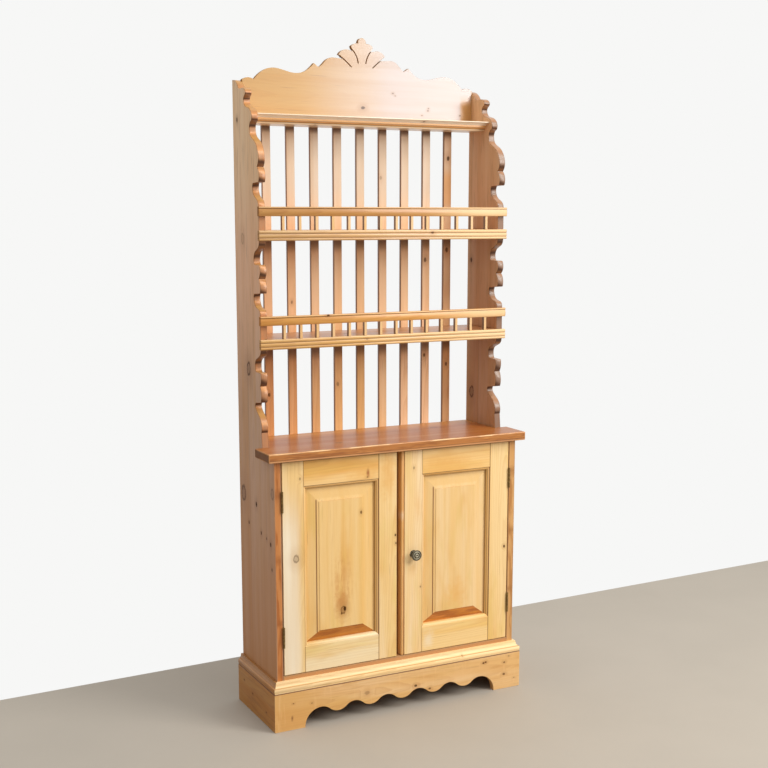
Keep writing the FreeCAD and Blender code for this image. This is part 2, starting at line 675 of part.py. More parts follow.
# Rack
def reeded_strip(name, top, height, shares):
    """A strip across the front whose face has rounded reeds one under another."""
    back, face, bulge = value("rack_front"), value("gallery_front"), value("reed_bulge")
    level, rise = value(top), value(height)
    runs = [[(back, level), (face + bulge, level)]]
    for share in shares:
        low = level - share * rise
        runs.append([(face + bulge, level), (face, (level + low) / 2), (face + bulge, low)])
        level = low
    runs += [[(face + bulge, level), (back, level)], [(back, level), (back, value(top))]]
    return outline_body(name, "YZ_Plane", runs, "-(outer + gallery_overhang)", "outer + gallery_overhang")


def shelves_and_galleries():
    """The two rack shelves, each with its moulding, its rail and its spindles."""
    for shelf in ("lower", "upper"):
        top = shelf + "_shelf_top"
        rail_top = shelf + "_gallery_top"
        keep(shelf + "_shelf", box(shelf + "_shelf_box",
                                   ("-(inner + housing_depth)", "inner + housing_depth"),
                                   ("rack_front", "back_face"), (top + " - shelf_thickness", top)))
        keep(shelf + "_shelf_moulding",
             reeded_strip(shelf + "_moulding", top, "shelf_moulding_height", moulding_reed_shares))
        keep(shelf + "_gallery_rail",
             reeded_strip(shelf + "_rail", rail_top, "gallery_rail_height", rail_reed_shares))
        spindles = []
        for number in range(SPINDLES):
            middle = "%g * spindle_pitch" % (number - (SPINDLES - 1) / 2)
            spindles.append(box("%s_spindle_%d" % (shelf, number),
                                (middle + " - half_spindle", middle + " + half_spindle"),
                                ("rack_front - gallery_thickness / 2 - half_spindle_depth",
                                 "rack_front - gallery_thickness / 2 + half_spindle_depth"),
                                (top, top + " + gallery_gap")))
        keep(shelf + "_gallery_spindles", group(shelf + "_spindles", spindles))


def top_ledge():
    """Ledge between the sides, with a moulded nose that falls back from its top edge."""
    nose, fall = value("ledge_nose"), value("ledge_thickness")
    face, top, back = value("back_face - ledge_depth"), value("ledge_top"), value("back_face")
    runs = placed(ledge_nose_shares, lambda share: face + share * nose, lambda share: top - share * fall)
    under = runs[-1][-1]
    runs += [[under, (back, under[1])], [(back, under[1]), (back, top)], [(back, top), (face, top)]]
    keep("top_ledge", outline_body("ledge", "YZ_Plane", runs, "-inner", "inner"))


def slit(name, shares, sign):
    """A curved saw cut through the crest, given by three points along its middle."""
    half, rise, base = value("inner"), value("crest_height"), value("ledge_top")
    points = [FreeCAD.Vector(sign * across * half, base + up * rise, 0) for across, up in shares]
    centre = Part.Arc(*points).toShape().Curve.Center
    runs = []
    for offset in (-value("slit_width") / 2, value("slit_width") / 2):
        arc = []
        for point in points:
            out = point - centre
            moved = centre + out * ((out.Length + offset) / out.Length)
            arc.append((moved.x, moved.y))
        runs.append(arc)
    runs += [[runs[0][0], runs[1][0]], [runs[0][-1], runs[1][-1]]]
    low, high = "back_face - crest_thickness - overrun", "back_face + overrun"
    return outline_body(name, "XZ_Plane", runs, low, high)


def crest_board():
    """Crest: a fretted board that stands on the ledge, with a palmette cut into its middle."""
    half, rise, base = value("inner"), value("crest_height"), value("ledge_top")
    right = placed(crest_shares, lambda share: share * half, lambda share: base + share * rise)
    end = right[0][0]
    runs = right + mirrored(right)
    runs += [[(-end[0], end[1]), (-half, base)], [(-half, base), (half, base)], [(half, base), end]]
    board = outline_body("crest", "XZ_Plane", runs, "back_face - crest_thickness", "back_face")
    slits = [slit("%s_slit_%d" % (name, sign + 1), shares, sign)
             for name, shares in (("outer", outer_slit_shares), ("inner", inner_slit_shares))
             for sign in (-1, 1)]
    keep("crest_board", cut("crest_cut", board, slits))


def back_slats():
    """Slats from the worktop up behind the crest."""
    for number in range(SLATS):
        middle = "%g * slat_pitch" % (number - (SLATS - 1) / 2)
        keep("back_slat_%d" % (number + 1),
             box("slat_box_%d" % (number + 1), (middle + " - half_slat", middle + " + half_slat"),
                 ("back_face", "back"), ("slat_foot", "ledge_top + slat_lap")))


# Doors
def stick_runs(width):
    """Section of a frame member: across from its outer edge, and back from the door face."""
    edge, step, fall = value(width), value("stick_step"), value("stick_fall")
    sight = edge + value("stick_width")
    groove = sight - value("groove_depth")
    front, back = value("groove_front"), value("groove_front + groove_width")
    thick = value("door_thickness")
    start = edge + step
    corners = [(0, 0), (edge, 0), (edge, step), (start, step)]
    middle = (start + stick_round_share * (sight - start), step + (1 - stick_round_share) * fall)
    after = [(sight, step + fall), (sight, front), (groove, front), (groove, back), (sight, back),
             (sight, thick), (0, thick), (0, 0)]
    runs = [list(pair) for pair in zip(corners, corners[1:])]
    runs.append([corners[-1], middle, after[0]])
    return runs + [list(pair) for pair in zip(after, after[1:])]


def stile(name, edge, width, sign):
    """Upright of a door frame from its outer edge inwards, its moulding mitred at both ends."""
    start, face = value(edge), value("front")
    runs = [[(start + sign * across, face + back) for across, back in run] for run in stick_runs(width)]
    section = outline_body(name + "_section", "XY_Plane", runs, "door_foot", "door_head")
    flat = "%s + (%d) * %s" % (edge, sign, width)
    sight = "%s + (%d) * (%s + stick_width)" % (edge, sign, width)
    plan = polygon_body(name + "_plan", "XZ_Plane",
                        [(edge, "door_foot"), (flat, "door_foot"), (flat, "frame_foot"),
                         (sight, "frame_foot + stick_width"), (sight, "frame_head - stick_width"),
                         (flat, "frame_head"), (flat, "door_head"), (edge, "door_head")],
                        "front - overrun", "door_back + overrun")
    return common(name + "_common", section, plan)


def rail(name, edge, width, sign, left, right):
    """Crosspiece of a door frame between its stiles, its moulding mitred at both ends."""
    start, face = value(edge), value("front")
    runs = [[(face + back, start + sign * across) for across, back in run] for run in stick_runs(width)]
    section = outline_body(name + "_section", "YZ_Plane", runs, left, right)
    flat = "%s + (%d) * %s" % (edge, sign, width)
    sight = "%s + (%d) * (%s + stick_width)" % (edge, sign, width)
    plan = polygon_body(name + "_plan", "XZ_Plane",
                        [(left, edge), (right, edge), (right, flat), (right + " - stick_width", sight),
                         (left + " + stick_width", sight), (left, flat)],
                        "front - overrun", "door_back + overrun")
    return common(name + "_common", section, plan)


def tenon(name, shoulder, sign, edge, width, into):
    """Box of a tenon, which the rail gains and the stile loses."""
    return box(name, (shoulder, "%s + (%d) * tenon_length" % (shoulder, into)),
               ("front + (door_thickness - tenon_thickness) / 2",
                "front + (door_thickness + tenon_thickness) / 2"),
               ("%s + (%d) * tenon_shoulder" % (edge, sign),
                "%s + (%d) * (%s - tenon_shoulder)" % (edge, sign, width)))


def raised_panel(name, left, right):
    """Panel held in the grooves: a tongue all round, a bevel and a field with a small step."""
    low, high = "frame_foot + stick_width", "frame_head - stick_width"
    first, last = left + " + stick_width", right + " - stick_width"
    reach = "(groove_depth - panel_play)"
    back = "front + groove_front + groove_width"
    shelf = "front + groove_front"
    plate = box(name + "_plate", ("%s - %s" % (first, reach), "%s + %s" % (last, reach)), (shelf, back),
                ("%s - %s" % (low, reach), "%s + %s" % (high, reach)))
    bevel = new("Part::Wedge", name + "_bevel")
    field = "front + panel_recess"
    sizes = {"Xmin": first + " + bevel_side", "Xmax": last + " - bevel_side", "X2min": first, "X2max": last,
             "Zmin": low + " + bevel_bottom", "Zmax": high + " - bevel_top", "Z2min": low, "Z2max": high,
             "Ymin": field + " + panel_step", "Ymax": shelf}
    for item, expression in sizes.items():
        setattr(bevel, item, value(expression))
    for item, expression in sizes.items():
        bevel.setExpression(item, full(expression))
    raised = box(name + "_field", (first + " + bevel_side", last + " - bevel_side"),
                 (field, field + " + panel_step"), (low + " + bevel_bottom", high + " - bevel_top"))
    return fuse(name, plate, bevel, raised)


def door(side, sign, meeting_edge, holes):
    """Framed door: two stiles, two rails and a panel; sign points from its hinges to its meeting edge."""
    hinge_edge = side + "_hinge_edge"
    hinge_flat = "%s + (%d) * hinge_stile_width" % (hinge_edge, sign)
    meeting_flat = "%s - (%d) * meeting_stile_width" % (meeting_edge, sign)
    left, right = sorted((hinge_flat, meeting_flat), key=value)
    name = side + "_door_"
    rails = (("bottom", "door_foot", 1, "bottom_rail_width"), ("top", "door_head", -1, "top_rail_width"))
    tenons = {"hinge": [], "meeting": []}
    for level, edge, way, width in rails:
        ends = {"hinge": (hinge_flat, -sign), "meeting": (meeting_flat, sign)}
        mine = []
        for stile_name, (shoulder, into) in ends.items():
            piece = tenon(name + level + "_" + stile_name + "_tenon", shoulder, way, edge, width, into)
            mine.append(piece)
            tenons[stile_name].append(piece)
        body = rail(name + level, edge, width, way, left, right)
        keep(name + level + "_rail", fuse(name + level + "_with_tenons", body, *mine))
    hinge = stile(name + "hinge", hinge_edge, "hinge_stile_width", sign)
    meeting = stile(name + "meeting", meeting_edge, "meeting_stile_width", -sign)
    screw_holes = screws(name + "hole", door_faces(side), "pin_fit")
    keep(name + "hinge_stile", cut(name + "hinge_cut", hinge, tenons["hinge"] + screw_holes))
    keep(name + "meeting_stile", cut(name + "meeting_cut", meeting, tenons["meeting"] + holes))
    keep(name + "panel", raised_panel(name + "raised", left, right))


def right_door_bead():
    """Half-round bead on the meeting edge of the right door, with a quirk beside it."""
    radius = value("(bead_width - bead_quirk) / 2")
    start, end = value("right_edge"), value("right_meeting_edge")
    face, back = value("front"), value("door_back")
    middle = start + radius
    runs = [[(start, face + radius), (middle, face), (middle + radius, face + radius)]]
    corners = [(middle + radius, face + radius), (end, face + radius), (end, back), (start, back),
               (start, face + radius)]
    runs += [list(pair) for pair in zip(corners, corners[1:])]
    keep("right_door_bead", outline_body("bead", "XY_Plane", runs, "door_foot", "door_head"))


# Hinges
def knuckles(name, foot, sign, leaf, first):
    """Every second knuckle of a hinge, with its tab to the leaf."""
    items = []
    for number in range(first, KNUCKLES, 2):
        low = "%s + %d * hinge_height / %d + knuckle_clear / 2" % (foot, number, KNUCKLES)
        high = "%s + %d * hinge_height / %d - knuckle_clear / 2" % (foot, number + 1, KNUCKLES)
        items.append(box("%s_tab_%d" % (name, number), leaf, ("pivot_line", "front"), (low, high)))
        items.append(rod("%s_knuckle_%d" % (name, number), "z", "knuckle_radius",
                         "(%s) - (%s)" % (high, low), ("%d * pivot" % sign, "pivot_line", low)))
    return items


def leaf(name, foot, sign, faces, first, holes):
    """A hinge leaf with its knuckles, bored for the pin and the screws."""
    plate = box(name + "_plate", faces, ("front", "front + hinge_leaf_width"),
                (foot, foot + " + hinge_height"))
    solid = fuse(name + "_solid", plate, *knuckles(name, foot, sign, faces, first))
    bore = rod(name + "_bore", "z", "pin_radius + pin_fit", "hinge_height + 2 * overrun",
               ("%d * pivot" % sign, "pivot_line", foot + " - overrun"))
    return cut(name, solid, [bore] + holes)


def hinges():
    """Four butt hinges: frame leaves, door leaves, pins and screws."""
    frame_leaves = []
    frame_screws = []
    pins = []
    for side in ("left", "right"):
        door_leaves = []
        for index, (name, foot, sign) in enumerate(hinge_places(side)):
            frame_face = ("%d * inner" % sign, "%d * (inner - leaf_thickness)" % sign)
            edge = side + "_hinge_edge"
            door_face = (edge, "%s + (%d) * leaf_thickness" % (edge, sign))
            holes = screws(name + "_frame_bore", [frame_faces(side)[index]], "pin_fit")
            frame_leaves.append(leaf(name + "_frame_leaf", foot, sign, frame_face, 0, holes))
            holes = screws(name + "_door_bore", [door_faces(side)[index]], "pin_fit")
            door_leaves.append(leaf(name + "_door_leaf", foot, sign, door_face, 1, holes))
            pins.append(rod(name + "_pin", "z", "pin_radius", "hinge_height",
                            ("%d * pivot" % sign, "pivot_line", foot)))
        frame_screws += screws(side + "_frame_screw", frame_faces(side))
        keep(side + "_door_hinge_leaves", group(side + "_leaves", door_leaves))
        door_screws = screws(side + "_door_screw", door_faces(side))
        keep(side + "_door_hinge_screws", group(side + "_screws", door_screws))
    keep("hinge_frame_leaves", group("frame_leaves", frame_leaves))
    keep("hinge_frame_screws", group("frame_screws", frame_screws))
    keep("hinge_pins", group("pins", pins))


# Knob, latch and bolt
def spindle_hole(name, spare, low, high):
    """Cutter along the axis of the knob."""
    return rod(name, "y", "spindle_radius + " + spare, "(%s) - (%s) + 2 * overrun" % (high, low),
               ("knob_axis", low + " - overrun", "knob_height"))


def door_knob():
    """Turned knob with rings on its face, in one piece with the spindle through the door."""
    body = new("PartDesign::Body", "knob_body")
    sketch = sketch_on(body, "XY_Plane")
    radius, foot = value("knob_radius"), value("rose_thickness + rose_clear")
    rise = value("knob_reach") - foot
    spindle, tail = value("spindle_radius"), -value("latch_back - front")
    runs = placed(knob_shares, lambda share: share * radius, lambda share: foot + share * rise)
    corners = [(0, foot + rise), (0, tail), (spindle, tail), (spindle, foot), runs[0][0]]
    runs += [list(pair) for pair in zip(corners, corners[1:])]
    for points in runs:
        sketch.addGeometry(run_curve([FreeCAD.Vector(across, up, 0) for across, up in points]), False)
    turning = body.newObject("PartDesign::Revolution", "knob_turning")
    turning.Profile = sketch
    turning.ReferenceAxis = (sketch, ["V_Axis"])
    turning.Angle = 360.0
    body.Tip = turning
    body.Placement = FreeCAD.Placement(FreeCAD.Vector(), FreeCAD.Rotation(FreeCAD.Vector(1, 0, 0), 180))
    for axis, expression in zip("xyz", ("knob_axis", "front", "knob_height")):
        body.setExpression("Placement.Base." + axis, full(expression))
    keep("door_knob", body)


def latch():
    """Rose on the door, and the tongue that turns behind the post."""
    rose = rod("rose_disc", "-y", "rose_radius", "rose_thickness", ("knob_axis", "front", "knob_height"))
    hole = spindle_hole("rose_hole", "spindle_fit", "front - rose_thickness", "front")
    keep("knob_rose", cut("rose", rose, [hole]))
    half, tip = "latch_width / 2", "latch_half_length"
    corner = "%g * latch_width" % latch_corner_share
    middle, level = "knob_axis", "knob_height"
    corners = []
    for across, up in ((1, -1), (1, 1), (-1, 1), (-1, -1)):
        side = ("%s + (%d) * %s" % (middle, across, half),
                "%s + (%d) * (%s - %s)" % (level, up, tip, corner))
        end = ("%s + (%d) * (%s - %s)" % (middle, across, half, corner),
               "%s + (%d) * %s" % (level, up, tip))
        corners += [end, side] if across * up < 0 else [side, end]
    bar = polygon_body("latch_bar", "XZ_Plane", corners, "latch_front", "latch_back")
    hole = spindle_hole("latch_hole", "pin_fit", "latch_front", "latch_back")
    keep("latch_tongue", cut("latch", bar, [hole]))


def slide_bolt():
    """Bolt inside the left door: a plate with two guides, and the rod with its handle."""
    plate = box("bolt_plate_box", ("bolt_axis - bolt_plate_width / 2", "bolt_axis + bolt_plate_width / 2"),
                ("door_back", "door_back + bolt_plate_thickness"), ("bolt_plate_foot", "bolt_plate_head"))
    guides = []
    for name, low in (("lower", "bolt_plate_foot + bolt_guide_inset"),
                      ("upper", "bolt_plate_head - bolt_guide_inset - bolt_guide_height")):
        guides.append(box("bolt_guide_" + name,
                          ("bolt_axis - bolt_guide_width / 2", "bolt_axis + bolt_guide_width / 2"),
                          ("door_back + bolt_plate_thickness",
                           "door_back + bolt_plate_thickness + bolt_guide_depth"),
                          (low, low + " + bolt_guide_height")))
    bore = rod("bolt_bore", "z", "bolt_radius + bolt_fit", "bolt_plate_height + 2 * overrun",
               ("bolt_axis", "bolt_line", "bolt_plate_foot - overrun"))
    keep("bolt_plate", cut("bolt_plate_bored", fuse("bolt_plate_solid", plate, *guides), [bore]))
    stem = rod("bolt_stem", "z", "bolt_radius", "bolt_length", ("bolt_axis", "bolt_line", "bolt_foot"))
    handle = rod("bolt_handle", "y", "bolt_handle_radius", "bolt_handle_reach",
                 ("bolt_axis", "bolt_line", "bolt_foot + bolt_handle_height"))
    keep("slide_bolt", fuse("bolt", stem, handle))


side_panel("left")
side_panel("right")
worktop()
cupboard_inside()
back_boards()
plinth()
plinth_mouldings()
shelves_and_galleries()
top_ledge()
crest_board()
back_slats()
door("left", 1, "left_meeting_edge", [])
door("right", -1, "right_meeting_edge", [spindle_hole("door_hole", "spindle_fit", "front", "door_back")])
right_door_bead()
hinges()
door_knob()
latch()
slide_bolt()
doc.recompute()

for item in doc.Objects:
    if "Invalid" in item.State or "Error" in item.State:
        raise RuntimeError("failed: " + item.Label)
for item in parts:
    if item.Shape.isNull() or not item.Shape.isValid() or not item.Shape.Solids:
        raise RuntimeError("bad shape: " + item.Label)

os.makedirs("parts", exist_ok=True)
for item in parts:
    item.Shape.exportStep(os.path.join("parts", item.Label + ".step"))
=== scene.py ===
import math

import bpy
import numpy as np
from bpy.props import FloatProperty, FloatVectorProperty, PointerProperty
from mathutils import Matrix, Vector


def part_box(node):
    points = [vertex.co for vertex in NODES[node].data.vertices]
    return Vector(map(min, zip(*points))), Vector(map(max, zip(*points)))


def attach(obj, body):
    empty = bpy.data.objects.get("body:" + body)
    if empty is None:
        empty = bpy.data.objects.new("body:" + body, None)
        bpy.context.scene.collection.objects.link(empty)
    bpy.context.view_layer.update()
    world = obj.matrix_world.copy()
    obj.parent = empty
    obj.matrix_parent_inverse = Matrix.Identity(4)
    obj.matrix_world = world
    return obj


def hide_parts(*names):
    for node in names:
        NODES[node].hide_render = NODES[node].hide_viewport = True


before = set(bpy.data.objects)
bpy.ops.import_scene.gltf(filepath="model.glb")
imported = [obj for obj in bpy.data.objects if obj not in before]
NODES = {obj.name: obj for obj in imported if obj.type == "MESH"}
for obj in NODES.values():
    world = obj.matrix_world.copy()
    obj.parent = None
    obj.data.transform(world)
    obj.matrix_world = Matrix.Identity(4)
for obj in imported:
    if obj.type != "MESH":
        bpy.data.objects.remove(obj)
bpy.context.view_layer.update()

bl_info = {
    "name": "Pine plate rack cupboard",
    "version": (1, 0, 0),
    "blender": (4, 5, 0),
    "location": "3D View > Sidebar > Dresser",
    "description": "Waxed pine, iron and bronze finishes for a dresser with a plate rack over a cupboard",
    "category": "Object",
}

# Throughout, a knot is (place across the grain, place along it, radius, darkness), and a mark is
# (mask, tone, share), where the share from 0 to 1 says how far the tone covers the wood. Places and
# sizes are in metres
# A knot larger than this shows rings of its own
RINGED_RADIUS = 0.0058
# Distances along the grain count by this share round a knot, which draws the knot out along the grain
KNOT_STRETCH = 0.68
# Darkness of a knot from its middle outwards. Its radius lies at the place that KNOT_EDGE gives
KNOT_EDGE = 0.7
RINGED_KNOT = ((0.0, 0.6), (0.16, 0.35), (0.26, 0.5), (0.38, 0.35), (0.48, 0.6), (0.58, 1.0), (0.68, 0.85),
               (0.82, 0.0))
PLAIN_KNOT = ((0.0, 1.0), (0.3, 0.85), (0.5, 1.0), (0.86, 0.0))
# Darkness of the wood over one yearly ring: it grows slowly and ends sharply
LATE_WOOD = ((0.0, 0.0), (0.35, 0.06), (0.72, 0.55), (0.9, 1.0), (0.965, 0.85), (1.0, 0.0))
# Wear and painted highlight of the knob's rings, from its axis to its rim
KNOB_WEAR_AND_HIGHLIGHT = ((0.0, 0.0), (0.1, 0.05), (0.18, 1.0), (0.32, 0.85), (0.42, 0.08), (0.54, 0.08), (0.62, 0.85),
             (0.71, 0.7), (0.8, 0.1), (0.94, 0.1), (1.0, 0.5))
# How far the grain jumps across, into the face and along at a glued seam
SEAM_JUMP = (0.173, 0.031, 0.41)
CAMERA_PLACE = (-1.7014, -3.35805, 1.4824)
CAMERA_TURN = (math.radians(90 - 9.53), 0.0, math.radians(-27.0))
CAMERA_LENS = 58.69
CAMERA_SHIFT = 0.0558


def paint(text):
    """Linear colour of a hexadecimal sRGB one."""
    channels = [int(text[i:i + 2], 16) / 255 for i in (0, 2, 4)]
    return tuple(c / 12.92 if c <= 0.04045 else ((c + 0.055) / 1.055) ** 2.4 for c in channels)


def colour(name, text, description):
    """A colour that a user can change."""
    return FloatVectorProperty(name=name, description=description, subtype="COLOR", size=3, min=0, max=1,
                               default=paint(text))


class DresserWood(bpy.types.PropertyGroup):
    """Tones and grain of the waxed pine."""
    side: colour("Left side", "C79E7E", "Outside of the left side board, half way up")
    side_foot: colour("Left side foot", "B07741", "Darker foot of the left side board")
    inner: colour("Right side", "CB9D72", "Right side board")
    side_front: colour("Front edges", "C9854A", "Front edges of the cupboard's side boards")
    scallop: colour("Scallops", "B07C55", "Sawn edges of the scalloped upper sides")
    # Painted shade on the undersides of the scallops
    scallop_under_shade: colour("Scallop undersides", "4A2814", "Undersides of the scallops, which hands don't rub")
    top: colour("Worktop", "AA6526", "Glossy top board")
    top_edge: colour("Worktop edge", "B57639", "Worn edge of the worktop")
    floor_board: colour("Bottom board", "C48C58", "Edge of the bottom board under the doors")
    door: colour("Doors", "EFCB8C", "Door frames")
    door_pale: colour("Bleached wood", "F3E6CE", "Paler boards of the left door")
    panel: colour("Panels", "EBC482", "Raised panels")
    panel_foot: colour("Panel bevels", "BC7020", "Lower bevels of the raised panels")
    bead: colour("Bead", "E5B57A", "Bead on the right door")
    plinth: colour("Plinth", "E6BC84", "Plinth board on the front")
    plinth_side: colour("Plinth side", "B07835", "Plinth board on the left")
    moulding: colour("Plinth moulding", "FDDAA0", "Moulding on the plinth")
    crest: colour("Crest", "B88A42", "Crest board")
    rail: colour("Rack rails", "CEA065", "Rails over the spindles")
    lip: colour("Shelf mouldings", "DDB47A", "Mouldings on the fronts of the rack shelves")
    spindle: colour("Spindles", "E3BA84", "Spindles of the rack")
    ledge: colour("Ledge", "F3DAB6", "Moulded ledge under the crest")
    slat: colour("Slats", "D59F69", "Feet of the back slats")
    slat_top: colour("Slat tops", "EBD0B2", "Bleached upper ends of the back slats")
    shelf: colour("Shelves", "C48A58", "Rack shelves")
    inside: colour("Inside", "C89A68", "Unpolished wood inside the cupboard")
    post: colour("Post", "8A5A2C", "Post behind the doors' meeting edges")
    # Dark tone for grime in grooves, also used as painted shade under the ledge and shelves, on the spindles'
    # flanks, at the doors' tops and in their mouldings
    dirt_and_shade: colour("Dirt", "5C3514", "Old wax and dirt in grooves")
    knot: colour("Knots", "3F2310", "Hearts of the knots")
    ring_pitch: FloatProperty(name="Ring pitch", description="One yearly ring to the next", unit="LENGTH",
                              default=0.0042, min=0.001, max=0.02)
    contrast: FloatProperty(name="Grain contrast", description="How far late wood darkens each ring",
                            default=0.34, min=0, max=1, subtype="FACTOR")
    wander: FloatProperty(name="Grain wander", description="How far the rings stray", unit="LENGTH",
                          default=0.03, min=0, max=0.1)
    arris: FloatProperty(name="Arris", description="Rounding of the boards' edges", unit="LENGTH",
                         default=0.0012, min=0, max=0.004)
    roughness: FloatProperty(name="Wax roughness", description="Roughness of the waxed wood",
                             default=0.46, min=0, max=1, subtype="FACTOR")


class DresserMetal(bpy.types.PropertyGroup):
    """Tones of the hinges, knob and bolt."""
    iron: colour("Iron", "6A5028", "Hinge leaves and pins")
    iron_worn: colour("Worn iron", "8A703C", "Rubbed edges of the hinges")
    bronze: colour("Bronze", "3E3A2E", "Knob and rose")
    # Bright rings of the knob: wear and a painted highlight; on the rose, wear only
    bronze_worn_and_lit: colour("Worn bronze", "CDC4AA", "Rings of the knob where hands rub them")
    steel: colour("Steel", "8E887C", "Screws and bolt")


class DresserStage(bpy.types.PropertyGroup):
    """Floor, light and background."""
    floor: colour("Floor", "B1A99D", "Plain pale floor")
    wall: colour("Background", "F7F7F6", "Plain background")
    daylight: FloatProperty(name="Daylight", description="Light from all round", default=0.6, min=0)
    lamp: FloatProperty(name="Lamp", description="Power of the soft lamp at the right", default=118.0, min=0,
                        unit="POWER")
    lamp_side: FloatProperty(name="Lamp size", description="Height of the soft lamp", default=1.9, min=0.1,
                             unit="LENGTH")
    top_lamp: FloatProperty(name="Top lamp", description="Power of the long lamp overhead", default=45.0,
                            min=0, unit="POWER")


class Signal:
    """A number or colour that the nodes work out. Sums and products of signals are nodes too."""

    def __init__(self, recipe, socket):
        self.recipe = recipe
        self.socket = socket

    def __add__(self, other):
        return self.recipe.math("ADD", self, other)

    def __sub__(self, other):
        return self.recipe.math("SUBTRACT", self, other)

    def __rsub__(self, other):
        return self.recipe.math("SUBTRACT", other, self)

    def __mul__(self, other):
        return self.recipe.math("MULTIPLY", self, other)

    def __truediv__(self, other):
        return self.recipe.math("DIVIDE", self, other)

    def __abs__(self):
        return self.recipe.math("ABSOLUTE", self)


class Recipe:
    """The nodes of a material or world, with one short call for each kind of step, and the colour laid down
    so far."""

    def __init__(self, owner):
        owner.use_nodes = True
        self.owner = owner
        self.tree = owner.node_tree
        self.tree.nodes.clear()
        self.place = self.make("ShaderNodeTexCoord", (), "Object")
        self.at = self.split(self.place)
        self.facing = self.split(self.make("ShaderNodeTexCoord", (), "Normal"))
        self.shown = None

    def make(self, kind, inputs, output=0, **settings):
        """A new node, and the signal of one of its outputs. Inputs go by number or by name, and each is a
        signal, a number or a colour."""
        node = self.tree.nodes.new(kind)
        for name, setting in settings.items():
            setattr(node, name, setting)
        for key, value in inputs.items() if isinstance(inputs, dict) else enumerate(inputs):
            socket = node.inputs[key]
            if isinstance(value, Signal):
                self.tree.links.new(value.socket, socket)
            elif hasattr(value, "__len__") and len(value) < len(socket.default_value):
                socket.default_value = (*value, 1.0)
            else:
                socket.default_value = value
        return Signal(self, node.outputs[output]) if node.outputs else None

    def math(self, operation, *values, clamp=False):
        """One sum, product or comparison of signals and numbers."""
        return self.make("ShaderNodeMath", values, operation=operation, use_clamp=clamp)

    def length(self, first, second):
        """Root of the sum of two squares."""
        return self.math("SQRT", first * first + second * second)

    def split(self, vector):
        """The three parts of a place or direction, by axis."""
        return {axis: self.make("ShaderNodeSeparateXYZ", (vector,), axis.upper()) for axis in "xyz"}

    def join(self, *parts):
        """A place from its three parts."""
        return self.make("ShaderNodeCombineXYZ", parts)

    def noise(self, vector, scale, detail=2.0, rough=0.5):
        """Cloudy noise from 0 to 1, mostly near one half."""
        return self.make("ShaderNodeTexNoise",
                         dict(Vector=vector, Scale=scale, Detail=detail, Roughness=rough))

    def noise_along(self, value, scale):
        """Noise that changes with one number only."""
        return self.make("ShaderNodeTexNoise", dict(W=value, Scale=scale, Detail=1.0), noise_dimensions="1D")

    def span(self, value, low, high, to_low=0.0, to_high=1.0):
        """Smooth step of a value from low to high, where low may be the larger one."""
        return self.make("ShaderNodeMapRange", (value, low, high, to_low, to_high),
                         interpolation_type="SMOOTHSTEP")

    def mix(self, share, first, second, mode="MIX"):
        """The first colour with a share of the second in it, or multiplied by that share of it."""
        return self.make("ShaderNodeMix", {0: share, 6: first, 7: second}, 2, data_type="RGBA",
                         blend_type=mode)

    def lay(self, share, tone, mode="MIX"):
        """Lays a tone over the colour so far."""
        self.shown = self.mix(share, self.shown, tone, mode)

    def ramp(self, value, stops):
        """Grey that runs straight from stop to stop, each given as (place, grey)."""
        grey_shade = self.make("ShaderNodeValToRGB", (value,))
        elements = grey_shade.socket.node.color_ramp.elements
        for _ in stops[2:]:
            elements.new(0.5)
        for element, (place, grey) in zip(elements, stops):
            element.position = place
            element.color = (grey, grey, grey, 1)
        return grey_shade

    def bump(self, height, distance, strength):
        """The normal of a surface that the height lifts by up to the distance."""
        return self.make("ShaderNodeBump", dict(Height=height, Distance=distance, Strength=strength))

    def finish(self, **inputs):
        """The material, once its shader has the colour laid down and the inputs named here."""
        inputs = {name.replace("_", " "): value for name, value in inputs.items()}
        shader = self.make("ShaderNodeBsdfPrincipled", {"Base Color": self.shown, **inputs})
        self.make("ShaderNodeOutputMaterial", (shader,))
        return self.owner


def scaled(tone, *shares):
    """A tone made lighter or darker, by one share or by one for each channel."""
    return tuple(min(1.0, channel * share) for channel, share in zip(tone, shares * 3))


class Mask:
    """Where a mark lies on a piece, as a share at each point. Masks joined by & have to hold together."""

    def __init__(self, rule):
        self.rule = rule

    def __call__(self, recipe):
        return self.rule(recipe)

    def __and__(self, other):
        return Mask(lambda recipe: self(recipe) * other(recipe))


def band(axis, low, high):
    """Mask that grows from low to high along an axis."""
    return Mask(lambda recipe: recipe.span(recipe.at[axis], low, high))


def line(axis, place, half):
    """Mask of a thin line across an axis, such as dirt in a groove."""
    return Mask(lambda recipe: recipe.span(abs(recipe.at[axis] - place), half * 1.5, half * 0.5))


def turned_to(axis, low, high):
    """Mask of the faces whose normal leans along an axis."""
    return Mask(lambda recipe: recipe.span(recipe.facing[axis], low, high))


def thin_side(axis):
    """Mask of the faces that don't look along an axis: the sawn edges of a board."""
    return Mask(lambda recipe: recipe.span(abs(recipe.facing[axis]), 0.8, 0.4))


def patch(first, first_middle, first_reach, second, second_middle, second_reach):
    """Mask of a soft oval, darkest at its middle and broken up by noise."""
    def rule(recipe):
        away = recipe.length((recipe.at[first] - first_middle) / first_reach,
                             (recipe.at[second] - second_middle) / second_reach)
        return recipe.span(away + recipe.noise(recipe.place, 60.0, 3.0, 0.6) * 0.9, 1.35, 0.35)
    return Mask(rule)


def streaks(along, low, high, offset=0.0):
    """Mask of long uneven streaks along the grain."""
    def rule(recipe):
        place = recipe.join(*[recipe.at[axis] * (8.0 if axis == along else 75.0) + offset for axis in "xyz"])
        return recipe.span(recipe.noise(place, 1.0, 3.0, 0.6), low, high)
    return Mask(rule)


